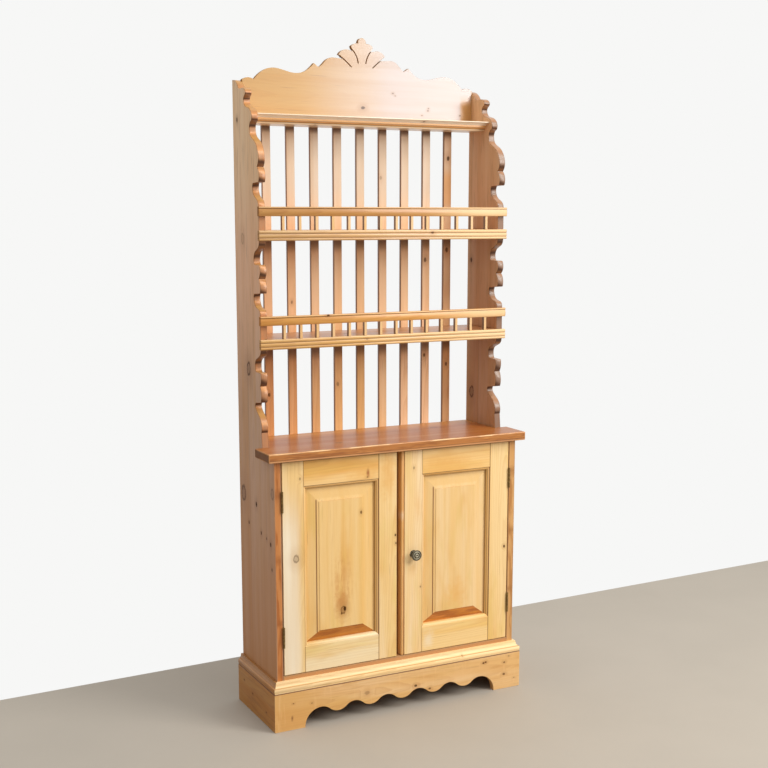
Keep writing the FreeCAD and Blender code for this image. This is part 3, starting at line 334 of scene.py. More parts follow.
class Grain:
    """Place of each point from the middle of its board: aside across the grain, deep into the face and
    ahead along the grain. Beyond a glued seam the place jumps, as to another plank."""

    def __init__(self, recipe, board, along, face, seam, seed):
        self.recipe = recipe
        self.low, self.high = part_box(board)
        self.across = "xyz".replace(along, "").replace(face, "")
        middle = dict(zip("xyz", (self.low + self.high) / 2))
        self.aside, self.deep, self.ahead = [recipe.at[axis] - middle[axis]
                                             for axis in (self.across, face, along)]
        self.beyond = None
        if seam is not None:
            self.beyond = recipe.math("GREATER_THAN", recipe.at[self.across], seam)
            self.aside = self.aside + self.beyond * SEAM_JUMP[0]
            self.deep = self.deep + self.beyond * SEAM_JUMP[1]
            self.ahead = self.ahead + self.beyond * SEAM_JUMP[2]
        self.shift = (seed * 3.71 % 10, seed * 1.93 % 10, seed * 5.17 % 10)

    def noise(self, short, long, *detail):
        """Noise drawn out along the grain, and moved by the board's own seed."""
        place = self.recipe.join(self.aside * short + self.shift[0], self.deep * short + self.shift[1],
                                 self.ahead * long + self.shift[2])
        return self.recipe.noise(place, 1.0, *detail)

    def edge_distance(self):
        """Distance to the nearest edge of the board's box: the middle one of the distances to its faces."""
        math_of, at = self.recipe.math, self.recipe.at
        first, second, third = [math_of("MINIMUM", at[axis] - start, end - at[axis])
                                for axis, start, end in zip("xyz", self.low, self.high)]
        inner = math_of("MINIMUM", math_of("MAXIMUM", first, second), third)
        return math_of("MAXIMUM", math_of("MINIMUM", first, second), inner)


def knot_marks(recipe, grain, along, knots, reach, ripple):
    """The distance from the pith as the knots bend it, with the knots' hearts and the halos round them.
    A knot is drawn out along the grain, and its rings lie at shares of its radius."""
    grit = grain.noise(210.0, 120.0, 2.0) - 0.5
    hearts, halos = [], []
    for place_across, place_along, radius, darkness in knots:
        gap = recipe.length(recipe.at[grain.across] - place_across,
                            (recipe.at[along] - place_along) * KNOT_STRETCH)
        gap = gap + ripple * (radius * 0.8) + grit * (radius * 0.7)
        near = recipe.span(gap, radius * 4.5, radius * 0.6)
        reach = reach + near * (radius * 2.2 * darkness)
        rings = RINGED_KNOT if radius > RINGED_RADIUS else PLAIN_KNOT
        hearts.append(recipe.ramp(gap / radius * KNOT_EDGE, rings) * darkness)
        halos.append(near * (0.45 * darkness))
    return reach, hearts, halos


def pine(wood, name, board, tone, along="z", face="y", pith=(0.01, -0.07), taper=0.03, seed=0.0, knots=(),
         contrast=1.0, blotch=1.0, arris=None, arris_width=0.004, end_tone=None, overlays=(), lines=(),
         seam=None, coat=0.0, coat_roughness=0.25, roughness=None, thin_roughness=None, specular=0.5):
    """Pine from a log: yearly rings are cylinders round a pith that lies off the board and tapers along it.
    Distance from the pith, bent by noise and by the knots, is cut into rings that darken slowly and end
    sharply. Long streaks and clouds shift the tone from bleached to golden to amber, with fibres and
    resin dashes over them. Overlays go under the arrises and lines over them. A darker arris tone is wear;
    a paler one, as on the plinth, is a painted highlight."""
    recipe = Recipe(bpy.data.materials.new(name))
    grain = Grain(recipe, board, along, face, seam, seed)
    drift = grain.noise(5.0, 1.3, 2.0) - 0.5
    ripple = grain.noise(45.0, 5.0, 2.0) - 0.5
    reach = recipe.length(grain.aside - pith[0], grain.deep - pith[1] + grain.ahead * taper)
    reach = reach + drift * wood.wander + ripple * 0.004
    reach, hearts, halos = knot_marks(recipe, grain, along, knots, reach, ripple)

    uneven = recipe.noise_along(reach, 0.3 / wood.ring_pitch) - 0.5
    late = recipe.ramp(recipe.math("FRACT", reach / wood.ring_pitch + uneven * 2.4 + 40.0), LATE_WOOD)
    weight = recipe.span(recipe.noise_along(reach, 0.11 / wood.ring_pitch), 0.3, 0.7, 0.25, 1.0)
    fibre = grain.noise(620.0, 9.0, 3.0, 0.6)
    streak = grain.noise(34.0, 1.3, 3.0, 0.55)
    wide = grain.noise(13.0, 0.9, 2.0, 0.5)
    cloud = grain.noise(7.0, 3.2, 3.0, 0.55)
    stray = grain.noise(16.0, 4.0, 3.0, 0.6)
    dash = recipe.span(grain.noise(300.0, 7.0, 1.0), 0.69, 0.76)

    bleached = scaled(tone, 1.03, 1.09, 1.24)
    golden = scaled(tone, 0.98, 0.9, 0.68)
    amber = scaled(tone, 0.9, 0.73, 0.44)
    olive = scaled(tone, 0.9, 0.9, 0.6)
    dark = scaled(tone, 0.7, 0.5, 0.32)
    recipe.shown = recipe.mix(recipe.span(streak + wide * 0.8, 0.72, 1.08), bleached, golden)
    recipe.lay(0.35, tone)
    recipe.lay(recipe.span(cloud + wide * 0.5, 0.78, 1.02) * (0.66 * blotch), amber)
    recipe.lay(recipe.span(stray, 0.5, 0.68) * (0.3 * blotch), olive)
    recipe.lay(late * weight * (wood.contrast * contrast), dark)
    recipe.lay(recipe.span(fibre, 0.35, 0.7, 0.0, 0.25), (0.86, 0.78, 0.66), "MULTIPLY")
    recipe.lay(dash * 0.4, scaled(dark, 0.6))
    if seam is not None:
        recipe.lay(grain.beyond * 0.45, (0.95, 0.78, 0.5), "MULTIPLY")
        recipe.lay(recipe.span(abs(recipe.at[grain.across] - seam), 0.0011, 0.0003, 0.0, 0.75),
                   scaled(dark, 0.3))
    for mask, other, share in overlays:
        grained = recipe.mix(recipe.span(streak, 0.3, 0.7, 0.0, 0.5), other, scaled(other, 0.86, 0.72, 0.55))
        recipe.lay(mask(recipe) * share, grained)
    for halo in halos:
        recipe.lay(halo, scaled(dark, 0.8))
    for heart in hearts:
        recipe.lay(heart, tuple(wood.knot))
    ends = recipe.span(abs(recipe.facing[along]), 0.35, 0.75)
    recipe.lay(ends * 0.7, end_tone or scaled(dark, 0.95))
    # Arrises take the arris tone: wear where it is darker, a painted highlight where it is paler
    rubbed = grain.edge_distance() + ripple * (arris_width * 1.6)
    recipe.lay(recipe.span(rubbed, arris_width, arris_width * 0.2) * 0.6, arris or scaled(tone, 0.72))
    for mask, other, share in lines:
        recipe.lay(mask(recipe) * share, other)

    if hearts:
        specular = recipe.math("SUBTRACT", 1.0, sum(hearts[1:], hearts[0]), clamp=True) * specular
    if coat:
        bare = 1.0 - ends
        coat, specular = bare * coat, recipe.span(bare, 0.0, 1.0, 0.3, 1.0) * specular
    dull = (streak - 0.5) * 0.25 + (roughness or wood.roughness) + ends * 0.15
    if thin_roughness is not None:
        thin = thin_side(face)(recipe)
        dull = dull * (1.0 - thin) + thin * thin_roughness
    height = fibre * 0.5 + late * 0.35 + streak * 0.8
    return recipe.finish(Roughness=dull, Normal=recipe.bump(height, 0.00022, 0.8), Coat_Weight=coat,
                         Coat_Roughness=coat_roughness, Specular_IOR_Level=specular)


def iron(name, tone, worn, roughness=0.55, metallic=0.75, scale=900.0):
    """Old metal: a dark skin with small pits, and brighter where the noise leaves it rubbed."""
    recipe = Recipe(bpy.data.materials.new(name))
    coarse = recipe.noise(recipe.place, scale * 0.15, 4.0, 0.6)
    fine = recipe.noise(recipe.place, scale, 3.0, 0.6)
    recipe.shown = recipe.mix(recipe.span(coarse, 0.4, 0.68), tone, worn)
    recipe.lay(recipe.span(fine, 0.5, 0.75, 0.0, 0.5), scaled(tone, 0.45))
    return recipe.finish(Roughness=(coarse - 0.5) * -0.5 + roughness, Metallic=metallic,
                         Normal=recipe.bump(coarse + fine * 0.5, 0.0001, 0.7))


def ringed_bronze(name, tone, worn, centre, radius):
    """Dark bronze whose rings are bright, partly wear where fingers rub them and partly a painted highlight,
    by the distance from the knob's axis.
    """
    recipe = Recipe(bpy.data.materials.new(name))
    out = recipe.length(recipe.at["x"] - centre[0], recipe.at["z"] - centre[2])
    grime = recipe.noise(recipe.place, 420.0, 4.0, 0.6)
    rings = recipe.ramp(out / radius, KNOB_WEAR_AND_HIGHLIGHT)
    recipe.shown = recipe.mix(rings * recipe.span(grime, 0.25, 0.7, 0.35, 1.0), tone, worn)
    recipe.lay(recipe.span(grime, 0.55, 0.8, 0.0, 0.5), scaled(tone, 0.4))
    return recipe.finish(Roughness=grime * 0.3 + 0.36, Metallic=0.8, Normal=recipe.bump(grime, 0.00008, 0.6))


def soften(node, width, segments=2):
    """Joins the loose triangles of a CAD node, makes flat faces whole again and rounds the arrises."""
    joined = node.modifiers.new("Join", "WELD")
    joined.merge_threshold = 0.00001
    whole = node.modifiers.new("Whole faces", "DECIMATE")
    whole.decimate_type = "DISSOLVE"
    whole.angle_limit = math.radians(0.1)
    rounding = node.modifiers.new("Arris", "BEVEL")
    rounding.width = width
    rounding.segments = segments
    rounding.limit_method = "ANGLE"
    rounding.angle_limit = math.radians(32)
    rounding.use_clamp_overlap = False
    rounding.harden_normals = True


def dress(name, material):
    """Gives a CAD node its finish."""
    mesh = NODES[name].data
    mesh.materials.clear()
    mesh.materials.append(material)


def finish_board(wood, name, tone, title="", rounding=1.0, segments=2, **look):
    """Gives a board its own pine, and rounds its arrises by a share of the usual rounding."""
    dress(name, pine(wood, title or "waxed_pine_" + name, name, tuple(tone), **look))
    soften(NODES[name], wood.arris * rounding, segments)


def add_object(name, data):
    """A new object in the scene."""
    made = bpy.data.objects.new(name, data)
    bpy.context.scene.collection.objects.link(made)
    return made


def surface(name, points, faces, material, body, replaced, smooth=True):
    """A new piece from arrays of points and faces, riding on its body."""
    mesh = bpy.data.meshes.new(name)
    mesh.from_pydata(points.tolist(), [], faces)
    mesh.polygons.foreach_set("use_smooth", np.full(len(mesh.polygons), smooth))
    mesh.materials.append(material)
    mesh.update()
    piece = add_object(name, mesh)
    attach(piece, body)
    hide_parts(replaced)


def smooth_line(corners, steps):
    """Catmull-Rom curve through the corners: each span is a cubic whose slopes come from its neighbours."""
    points = np.asarray(corners, float)
    padded = np.vstack([2 * points[0] - points[1], points, 2 * points[-1] - points[-2]])
    share = np.linspace(0, 1, steps, endpoint=False)[None, :, None]
    before, start, end, after = [padded[i:len(padded) - 3 + i][:, None, :] for i in range(4)]
    spans = 0.5 * (2 * start + (end - before) * share
                   + (2 * before - 5 * start + 4 * end - after) * share ** 2
                   + (3 * start - before - 3 * end + after) * share ** 3)
    return np.vstack([spans.reshape(-1, 2), points[-1:]])


def turned_shape(profile, axis_point, segments=96):
    """Profile of (radius, forward) carried round an axis that points to the front:
    x = axis + r cos t, z = axis + r sin t, y = axis - forward. Its two ends are closed at poles."""
    radius, forward = profile[:, 0], profile[:, 1]
    angle = np.linspace(0, 2 * np.pi, segments, endpoint=False)
    x = axis_point[0] + radius[:, None] * np.cos(angle)
    z = axis_point[2] + radius[:, None] * np.sin(angle)
    y = np.broadcast_to((axis_point[1] - forward)[:, None], x.shape)
    rings = np.stack([x, y, z], -1).reshape(-1, 3)
    poles = np.array([[axis_point[0], axis_point[1] - forward[end], axis_point[2]] for end in (0, -1)])
    row, column = np.meshgrid(np.arange(len(profile) - 1), np.arange(segments), indexing="ij")
    start, after = row * segments, (column + 1) % segments
    quads = np.stack([start + after, start + segments + after, start + segments + column, start + column], -1)
    around = np.arange(segments)
    onward = (around + 1) % segments
    first = np.stack([onward, around, np.full(segments, len(rings))], -1)
    base = (len(profile) - 1) * segments
    last = np.stack([base + around, base + onward, np.full(segments, len(rings) + 1)], -1)
    return np.vstack([rings, poles]), quads.reshape(-1, 4).tolist() + first.tolist() + last.tolist()


class DRESSER_OT_sides(bpy.types.Operator):
    """Finish the two side boards, glued from two planks each, with their scalloped upper fronts"""
    bl_idname = "dresser.sides"
    bl_label = "Side boards"

    def execute(self, context):
        wood = context.scene.dresser_wood
        # The front edges change from cupboard to rack between these heights, behind the worktop
        under, over = 0.8, 0.83
        left_knots = ((0.059, 1.044, 0.013, 0.85), (0.117, 0.662, 0.0165, 0.75), (-0.101, 0.478, 0.004, 0.8),
                      (0.117, 1.756, 0.004, 0.9), (0.015, 0.648, 0.0052, 1.0), (0.078, 0.58, 0.0038, 1.0),
                      (-0.021, 0.569, 0.0038, 1.0), (-0.063, 0.562, 0.003, 0.9), (-0.094, 0.551, 0.0045, 1.0),
                      (-0.112, 0.703, 0.011, 0.5), (0.09, 1.42, 0.01, 0.35))
        right_knots = ((0.117, 1.346, 0.005, 0.9), (0.107, 0.923, 0.013, 0.8), (0.121, 1.415, 0.0035, 0.8),
                       (0.0, 0.5, 0.01, 0.6), (-0.06, 0.25, 0.006, 0.6))
        # Side, tones of the board, its foot, front edge and scallops, how much paler its upper part is
        # painted as light from above, how much painted highlights lighten the scallops, seed and knots. The
        # right side's scallops get a greyer tone, a painted reflection of the pale background
        plans = (
            ("left", wood.side, wood.side_foot, wood.side_front, wood.scallop, (2.12, 2.08, 2.12),
             (1.75, 1.8, 1.4), 1.3, left_knots),
            ("right", wood.inner, scaled(wood.inner, 0.86, 0.82, 0.78),
             scaled(wood.side_front, 1.12, 1.55, 1.95), scaled(wood.scallop, 0.5, 0.66, 1.1),
             (1.38, 1.5, 1.64), (1.5, 1.75, 1.8), 4.6, right_knots),
        )
        # Height and reach of the dark stains on the cupboard's front edges
        stains = ((0.7, 0.03), (0.51, 0.024), (0.32, 0.02))
        for side, tone, foot, front, sawn, bright, lit, seed, knots in plans:
            name = side + "_side_panel"
            low_edge = thin_side("x") & band("z", over, under)
            scallops = thin_side("x") & band("z", under, over)
            # Painted light: each board is darker at its foot and paler upwards, as light from above makes it.
            # The scallops get painted shade on their undersides and painted highlights on their upward faces
            overlays = [
                (band("z", 0.95, 0.2), foot, 0.85),
                (band("z", 0.9, 1.35), scaled(tone, *[0.5 + 0.5 * share for share in bright]), 0.9),
                (band("z", 1.3, 1.7), scaled(tone, *bright), 0.9),
                (streaks("z", 0.5, 0.7, seed), scaled(tone, 0.72, 0.6, 0.5), 0.35),
                (low_edge, front, 0.95),
                (low_edge & streaks("z", 0.48, 0.62), scaled(front, 0.62, 0.45, 0.3), 0.75),
                *[(low_edge & patch("y", -0.125, 0.02, "z", height, reach),
                   scaled(front, 0.55, 0.42, 0.3), 0.7) for height, reach in stains],
                (scallops, sawn, 0.9),
                (scallops & streaks("z", 0.5, 0.62, 3.0), scaled(sawn, 1.3, 1.1, 0.8), 0.5),
                (scallops & turned_to("z", 0.0, -0.35), wood.scallop_under_shade, 0.95),
                (scallops & turned_to("z", 0.1, 0.4), scaled(sawn, *lit), 0.8),
                (scallops & turned_to("z", 0.6, 0.85), scaled(sawn, *[share * share for share in lit]), 0.8)]
            lines = [(scallops & line("x", corner.x, 0.0014), wood.dirt_and_shade, 0.75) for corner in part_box(name)]
            finish_board(wood, name, tone, "waxed_pine_%s_side" % side, along="z", face="x",
                         pith=(0.02, -0.09), taper=0.02, seed=seed, knots=knots, overlays=overlays,
                         lines=lines, seam=0.065, arris=scaled(tone, 0.75), contrast=0.8, blotch=0.6,
                         roughness=0.55, thin_roughness=0.3, specular=0.4)
        return {"FINISHED"}


class DRESSER_OT_worktop(bpy.types.Operator):
    """Finish the glossy worktop"""
    bl_idname = "dresser.worktop"
    bl_label = "Worktop"

    def execute(self, context):
        wood = context.scene.dresser_wood
        low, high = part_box("worktop")
        front = turned_to("y", -0.3, -0.8)
        top_arris = (band("z", high.z - 0.004, high.z - 0.0025) & streaks("x", 0.5, 0.57, 2.0)
                     & band("y", low.y + 0.005, low.y + 0.003))
        overlays = ((front, wood.top_edge, 0.75),
                    (front & streaks("x", 0.46, 0.6), scaled(wood.top_edge, 0.55, 0.42, 0.3), 0.65),
                    (front & streaks("x", 0.55, 0.66, 4.0), scaled(wood.top_edge, 1.5, 1.7, 2.0), 0.6),
                    (front & band("z", low.z + 0.007, low.z + 0.001), paint("E3B283"), 0.6),
                    (front & line("z", low.z + 0.0065, 0.0008), wood.dirt_and_shade, 0.6),
                    (patch("x", 0.0, 0.3, "y", -0.05, 0.08), scaled(wood.top, 1.25, 1.35, 1.4), 0.4),
                    (band("y", 0.03, 0.13), scaled(wood.top, 1.7, 2.4, 3.6), 0.75))
        finish_board(wood, "worktop", wood.top, "polished_pine_worktop", 2.2, 3, along="x", face="z",
                     pith=(0.03, -0.06), taper=0.02, seed=7.7, overlays=overlays, coat=0.2,
                     coat_roughness=0.18, roughness=0.42, contrast=1.3, arris=paint("D99C62"), seam=0.045,
                     knots=((0.05, 0.21, 0.008, 0.5), (-0.06, -0.17, 0.006, 0.6)),
                     lines=((top_arris, paint("F2CB94"), 0.8),), end_tone=paint("54381A"))
        return {"FINISHED"}


class DRESSER_OT_cupboard(bpy.types.Operator):
    """Finish the boards inside the cupboard and its back"""
    bl_idname = "dresser.cupboard"
    bl_label = "Cupboard inside"

    def execute(self, context):
        wood = context.scene.dresser_wood
        front_edge = ((turned_to("y", -0.3, -0.8), wood.floor_board, 0.85),)
        plans = (
            ("bottom_board", "x", "z", wood.inside, 2.1,
             ((-0.02, 0.14, 0.008, 0.7), (0.06, -0.2, 0.006, 0.6))),
            ("centre_post", "z", "y", wood.post, 3.3, ()),
            ("cupboard_shelf", "x", "z", wood.inside, 5.9, ((0.04, -0.12, 0.009, 0.7),)),
            ("shelf_battens", "y", "x", wood.inside, 6.1, ()),
            ("back_board_left", "z", "y", wood.slat, 8.4,
             ((-0.2, 0.5, 0.012, 0.8), (-0.31, 0.3, 0.007, 0.7))),
            ("back_board_right", "z", "y", wood.slat, 9.2,
             ((0.17, 0.36, 0.01, 0.8), (0.3, 0.62, 0.008, 0.7))),
            ("plinth_corner_blocks", "z", "x", wood.inside, 10.5, ()),
        )
        for name, along, face, tone, seed, knots in plans:
            finish_board(wood, name, tone, "plain_pine_" + name, along=along, face=face, seed=seed,
                         knots=knots, overlays=front_edge if name == "bottom_board" else (), roughness=0.62)
        return {"FINISHED"}


class DRESSER_OT_plinth(bpy.types.Operator):
    """Finish the plinth boards and the moulding on them"""
    bl_idname = "dresser.plinth"
    bl_label = "Plinth"

    def execute(self, context):
        wood = context.scene.dresser_wood
        dirt_and_shade = scaled(wood.dirt_and_shade, 1.4, 1.1, 0.7)
        low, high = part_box("plinth_moulding_front")
        rise = high.z - low.z
        # A dark joint line under the moulding, with painted shadow of the gap. The moulding's lowest line is
        # the same joint and painted shadow; its other two lines are dark lines in its grooves
        board_lines = ((line("z", low.z - 0.0006, 0.0013), dirt_and_shade, 0.85),)
        moulding_lines = (
            (line("z", low.z + 0.0004, 0.0009), dirt_and_shade, 0.8),
            (line("z", low.z + 0.5 * rise, 0.0009), scaled(wood.moulding, 0.55, 0.38, 0.22), 0.75),
            (line("z", low.z + 0.86 * rise, 0.0006), scaled(wood.moulding, 0.55, 0.4, 0.28), 0.4))
        front = turned_to("y", -0.4, -0.8)
        # The first mark is painted shade on the downward faces of the apron's sawn edge
        front_marks = ((thin_side("y") & turned_to("z", -0.3, -0.7), scaled(wood.plinth, 0.7, 0.6, 0.5), 0.6),
                       (streaks("x", 0.52, 0.68), scaled(wood.plinth, 0.82, 0.68, 0.46), 0.5),
                       (band("x", -0.2, -0.4) & front, scaled(wood.plinth, 0.88, 0.76, 0.52), 0.7),
                       (streaks("z", 0.55, 0.68, 6.0) & front, scaled(wood.plinth, 1.08, 1.1, 1.1), 0.4),
                       (patch("x", -0.366, 0.006, "z", 0.036, 0.014), paint("6E3A1C"), 0.75),
                       (patch("x", 0.2, 0.16, "z", 0.07, 0.05), scaled(wood.plinth, 1.06, 1.1, 1.18), 0.5))
        left_marks = ((streaks("y", 0.5, 0.66), scaled(wood.plinth_side, 0.66, 0.55, 0.4), 0.5),)
        front_knots = ((0.087, 0.363, 0.0025, 0.8), (0.065, 0.044, 0.0035, 0.9),
                       (0.071, -0.122, 0.0055, 0.35), (0.047, 0.093, 0.003, 0.8), (0.048, 0.362, 0.003, 0.8),
                       (0.097, 0.286, 0.0025, 1.0), (0.0985, 0.294, 0.0025, 1.0),
                       (0.081, -0.362, 0.0016, 0.8), (0.072, -0.303, 0.0018, 0.7), (0.105, 0.38, 0.002, 0.6),
                       (0.03, 0.4, 0.002, 0.5))
        left_knots = ((0.06, 0.03, 0.003, 0.7), (0.04, -0.08, 0.0025, 0.7), (0.08, 0.1, 0.002, 0.8))
        plans = (
            ("plinth_front", "x", "y", wood.plinth, 11.2, front_knots, front_marks),
            ("plinth_left", "y", "x", wood.plinth_side, 12.9, left_knots, left_marks),
            ("plinth_right", "y", "x", wood.plinth, 13.4, ((0.05, 0.04, 0.005, 0.6),), ()),
            ("plinth_moulding_front", "x", "y", wood.moulding, 14.8, ((0.132, 0.21, 0.002, 0.7),), ()),
            ("plinth_moulding_left", "y", "x", scaled(wood.moulding, 0.4, 0.24, 0.12), 15.1, (), ()),
            ("plinth_moulding_right", "y", "x", wood.moulding, 16.6, (), ()),
        )
        for name, along, face, tone, seed, knots, overlays in plans:
            moulded = "moulding" in name
            # The paler arrises of the plinth pieces are painted highlights
            finish_board(wood, name, tone, rounding=0.5 if moulded else 1.0, along=along, face=face,
                         seed=seed, knots=knots, overlays=overlays, arris=scaled(tone, 1.12, 1.15, 1.2),
                         lines=moulding_lines if moulded else board_lines, arris_width=0.003)
        return {"FINISHED"}


def strip_marks(wood, name, shares):
    """Overlays and lines of a rack strip: dark lines in the grooves at shares of its height from its top, a
    painted highlight on its top arris, a dark foot and a right end painted paler as a sheen. The ledge is
    painted cream above, painted light on its shaded cove, and darker below."""
    low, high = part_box(name)
    rise = high.z - low.z
    front = turned_to("y", -0.2, -0.7)
    if name == "top_ledge":
        # Painted light over the ledge's shaded upper cove
        marks = ((band("z", high.z - 0.42 * rise, high.z - 0.36 * rise), (1.0, 0.93, 0.8), 1.0),
                 (front & band("z", high.z - 0.37 * rise, high.z - 0.42 * rise),
                  scaled(wood.rail, 1.35, 1.2, 0.95), 0.9),
                 (front & band("z", low.z + 0.24 * rise, low.z + 0.16 * rise), scaled(wood.ledge, 0.9), 0.9))
    else:
        # A right end painted paler as a sheen, and a painted highlight on the top arris
        marks = ((front & band("x", 0.08, 0.36), scaled(wood.lip, 1.12, 1.27, 1.62), 0.85),
                 (front & band("z", high.z - 0.0045, high.z - 0.001), scaled(wood.lip, 1.15, 1.3, 1.6), 0.7),
                 (front & band("z", low.z + 0.003, low.z), scaled(wood.rail, 0.75, 0.55, 0.35), 0.75))
    grooves = [(line("z", high.z - share * rise, 0.0009), scaled(wood.rail, 0.4, 0.24, 0.11), 0.9)
               for share in shares]
    return marks, grooves


class DRESSER_OT_rack(bpy.types.Operator):
    """Finish the rack shelves, their mouldings, rails and spindles, and the ledge"""
    bl_idname = "dresser.rack"
    bl_label = "Plate rack"

    def execute(self, context):
        wood = context.scene.dresser_wood
        # The last two values are the share of the usual rounding and the heights of the grooves
        plans = (
            ("upper_shelf", "x", "z", wood.shelf, 17.3, ((0.05, 0.2, 0.008, 0.7),), 1.0, ()),
            ("lower_shelf", "x", "z", wood.shelf, 18.5, ((0.03, -0.1, 0.009, 0.7),), 1.0, ()),
            ("upper_shelf_moulding", "x", "y", scaled(wood.lip, 0.9, 0.9, 1.0), 19.1,
             ((1.435, 0.146, 0.003, 1.0),), 0.5, (0.33, 0.73)),
            ("lower_shelf_moulding", "x", "y", wood.lip, 20.7, ((1.126, -0.073, 0.002, 0.8),), 0.5,
             (0.33, 0.73)),
            ("upper_gallery_rail", "x", "y", scaled(wood.rail, 0.82, 0.7, 0.5), 21.2, (), 0.5, (0.2,)),
            ("lower_gallery_rail", "x", "y", scaled(wood.rail, 1.05, 0.87, 0.53), 22.8,
             ((1.2, -0.198, 0.003, 1.0),), 0.5, (0.2,)),
            ("upper_gallery_spindles", "z", "y", wood.spindle, 23.9, (), 0.4, ()),
            ("lower_gallery_spindles", "z", "y", wood.spindle, 24.4, (), 0.4, ()),
            ("top_ledge", "x", "z", wood.ledge, 25.6, ((0.03, 0.16, 0.003, 0.8), (0.05, -0.19, 0.003, 0.8)),
             0.7, (0.8,)),
        )
        # The spindles' flanks are painted darker, painted shade, the left ones most
        shaded_flanks = ((turned_to("x", -0.3, -0.6), wood.dirt_and_shade, 0.8),
                  (turned_to("x", 0.3, 0.8), scaled(wood.spindle, 0.7, 0.55, 0.4), 0.6))
        for name, along, face, tone, seed, knots, rounding, shares in plans:
            overlays, lines = (), shaded_flanks if "spindles" in name else ()
            if shares:
                overlays, lines = strip_marks(wood, name, shares)
            finish_board(wood, name, tone, rounding=rounding, along=along, face=face, seed=seed, knots=knots,
                         overlays=overlays, lines=lines, arris=scaled(tone, 0.85, 0.75, 0.6),
                         arris_width=0.002, coat=0.3, roughness=0.4)
        return {"FINISHED"}


class DRESSER_OT_crest(bpy.types.Operator):
    """Finish the fretted crest board"""
    bl_idname = "dresser.crest"
    bl_label = "Crest"

    def execute(self, context):
        wood = context.scene.dresser_wood
        knots = ((1.806, 0.003, 0.0045, 0.95), (1.852, 0.104, 0.002, 0.8), (1.845, 0.112, 0.0015, 0.7),
                 (1.805, 0.226, 0.002, 0.8), (1.812, 0.228, 0.0015, 0.8), (1.79, 0.205, 0.0015, 0.8),
                 (1.794, 0.341, 0.002, 0.8))
        # The right part is painted paler, partly bleached wood and partly a painted sheen; the right end gets
        # a painted shadow of the side board
        right_end_shadow = band("x", 0.335, 0.35) & turned_to("y", -0.5, -0.9) & band("z", 1.86, 1.82)
        overlays = ((band("x", -0.22, 0.02), scaled(wood.crest, 0.97, 1.33, 4.7), 0.75),
                    (band("x", -0.02, 0.12), (0.43, 0.355, 0.345), 0.9),
                    (right_end_shadow, scaled(wood.crest, 0.95, 0.82, 0.5), 0.85),
                    (thin_side("y"), scaled(wood.crest, 0.8), 0.6))
        finish_board(wood, "crest_board", wood.crest, "waxed_pine_crest", 0.7, along="x",
                     pith=(-0.05, -0.1), taper=0.02, seed=26.3, knots=knots, overlays=overlays, contrast=0.5,
                     arris=scaled(wood.crest, 0.85), coat=0.9, coat_roughness=0.24, roughness=0.45)
        return {"FINISHED"}


class DRESSER_OT_slats(bpy.types.Operator):
    """Finish the nine back slats, paler to the right and upwards, with shade under each shelf"""
    bl_idname = "dresser.slats"
    bl_label = "Back slats"

    def execute(self, context):
        wood = context.scene.dresser_wood
        knots = {1: ((-0.309, 0.951, 0.004, 0.8),), 2: ((-0.231, 1.228, 0.003, 0.6),),
                 4: ((-0.08, 0.97, 0.004, 0.5),), 6: ((0.07, 1.6, 0.004, 0.4),),
                 8: ((0.227, 1.348, 0.0045, 0.8), (0.225, 1.046, 0.004, 0.85)),
                 9: ((0.307, 1.663, 0.005, 0.9), (0.305, 1.378, 0.005, 0.8), (0.306, 1.013, 0.004, 0.85))}
        shades = (1.0, 1.05, 1.0, 1.04, 1.0, 0.99, 1.02, 1.05, 1.0)
        half = [(first + second) / 2 for first, second in zip(wood.slat, wood.slat_top)]
        # Top of the painted shade under the ledge and the shelves, and how far it reaches down the slats
        tops = ((1.744, 0.022), (1.414, 0.045), (1.088, 0.045))
        under = [(band("z", top - reach, top - 0.006) & band("z", top + 0.01, top + 0.006)
                  & turned_to("y", 0.6, 0.0), wood.dirt_and_shade, 0.75) for top, reach in tops]
        # The slats' side faces are painted dark, painted shade
        lines = [(thin_side("y"), scaled(wood.slat, 0.34, 0.22, 0.13), 0.9), *under]
        for number, shade in enumerate(shades, 1):
            name = "back_slat_%d" % number
            # The feet are painted paler and greyer towards the right, painted light
            near, far = min(number, 5), max(number - 5, 0)
            foot = scaled(wood.slat, shade * (1.09 + 0.036 * near + 0.03 * far),
                          shade * (0.87 + 0.14 * near + 0.04 * far),
                          shade * (0.62 + 0.26 * near + 0.165 * far))
            bleached = scaled(wood.slat_top, 0.79 * shade, 0.87 * shade, 0.97 * shade)
            if number == len(shades):
                bleached = scaled(half, 1.15, 1.3, 1.5)
            # The last overlay paints the ends just under the ledge darker, painted shade
            overlays = [(band("z", 1.0, 1.25), scaled(half, 1.25 * shade, 1.3 * shade, 1.3 * shade), 0.75),
                        (band("z", 1.4, 1.6), bleached, 0.85),
                        (band("z", 1.7, 1.75), scaled(wood.slat_top, 0.75, 0.68, 0.62), 0.5)]
            if number == len(shades):
                overlays.append((band("z", 1.5, 1.53) & band("z", 1.64, 1.6),
                                 scaled(wood.slat, 1.4, 1.5, 1.5), 0.75))
            finish_board(wood, name, foot, "stripped_pine_slat_%d" % number, seed=30 + number * 1.7,
                         pith=(0.01, -0.03 - 0.004 * number), taper=0.01,
                         knots=knots.get(number, ()), roughness=0.45, overlays=overlays, lines=lines,
                         arris_width=0.002, arris=scaled(wood.slat, 0.8))
        return {"FINISHED"}


def door_dirt_and_shade(wood):
    """Tone of the doors' dark marks: grime in the grooves and painted shade."""
    return scaled(wood.dirt_and_shade, 1.7, 1.35, 0.8)


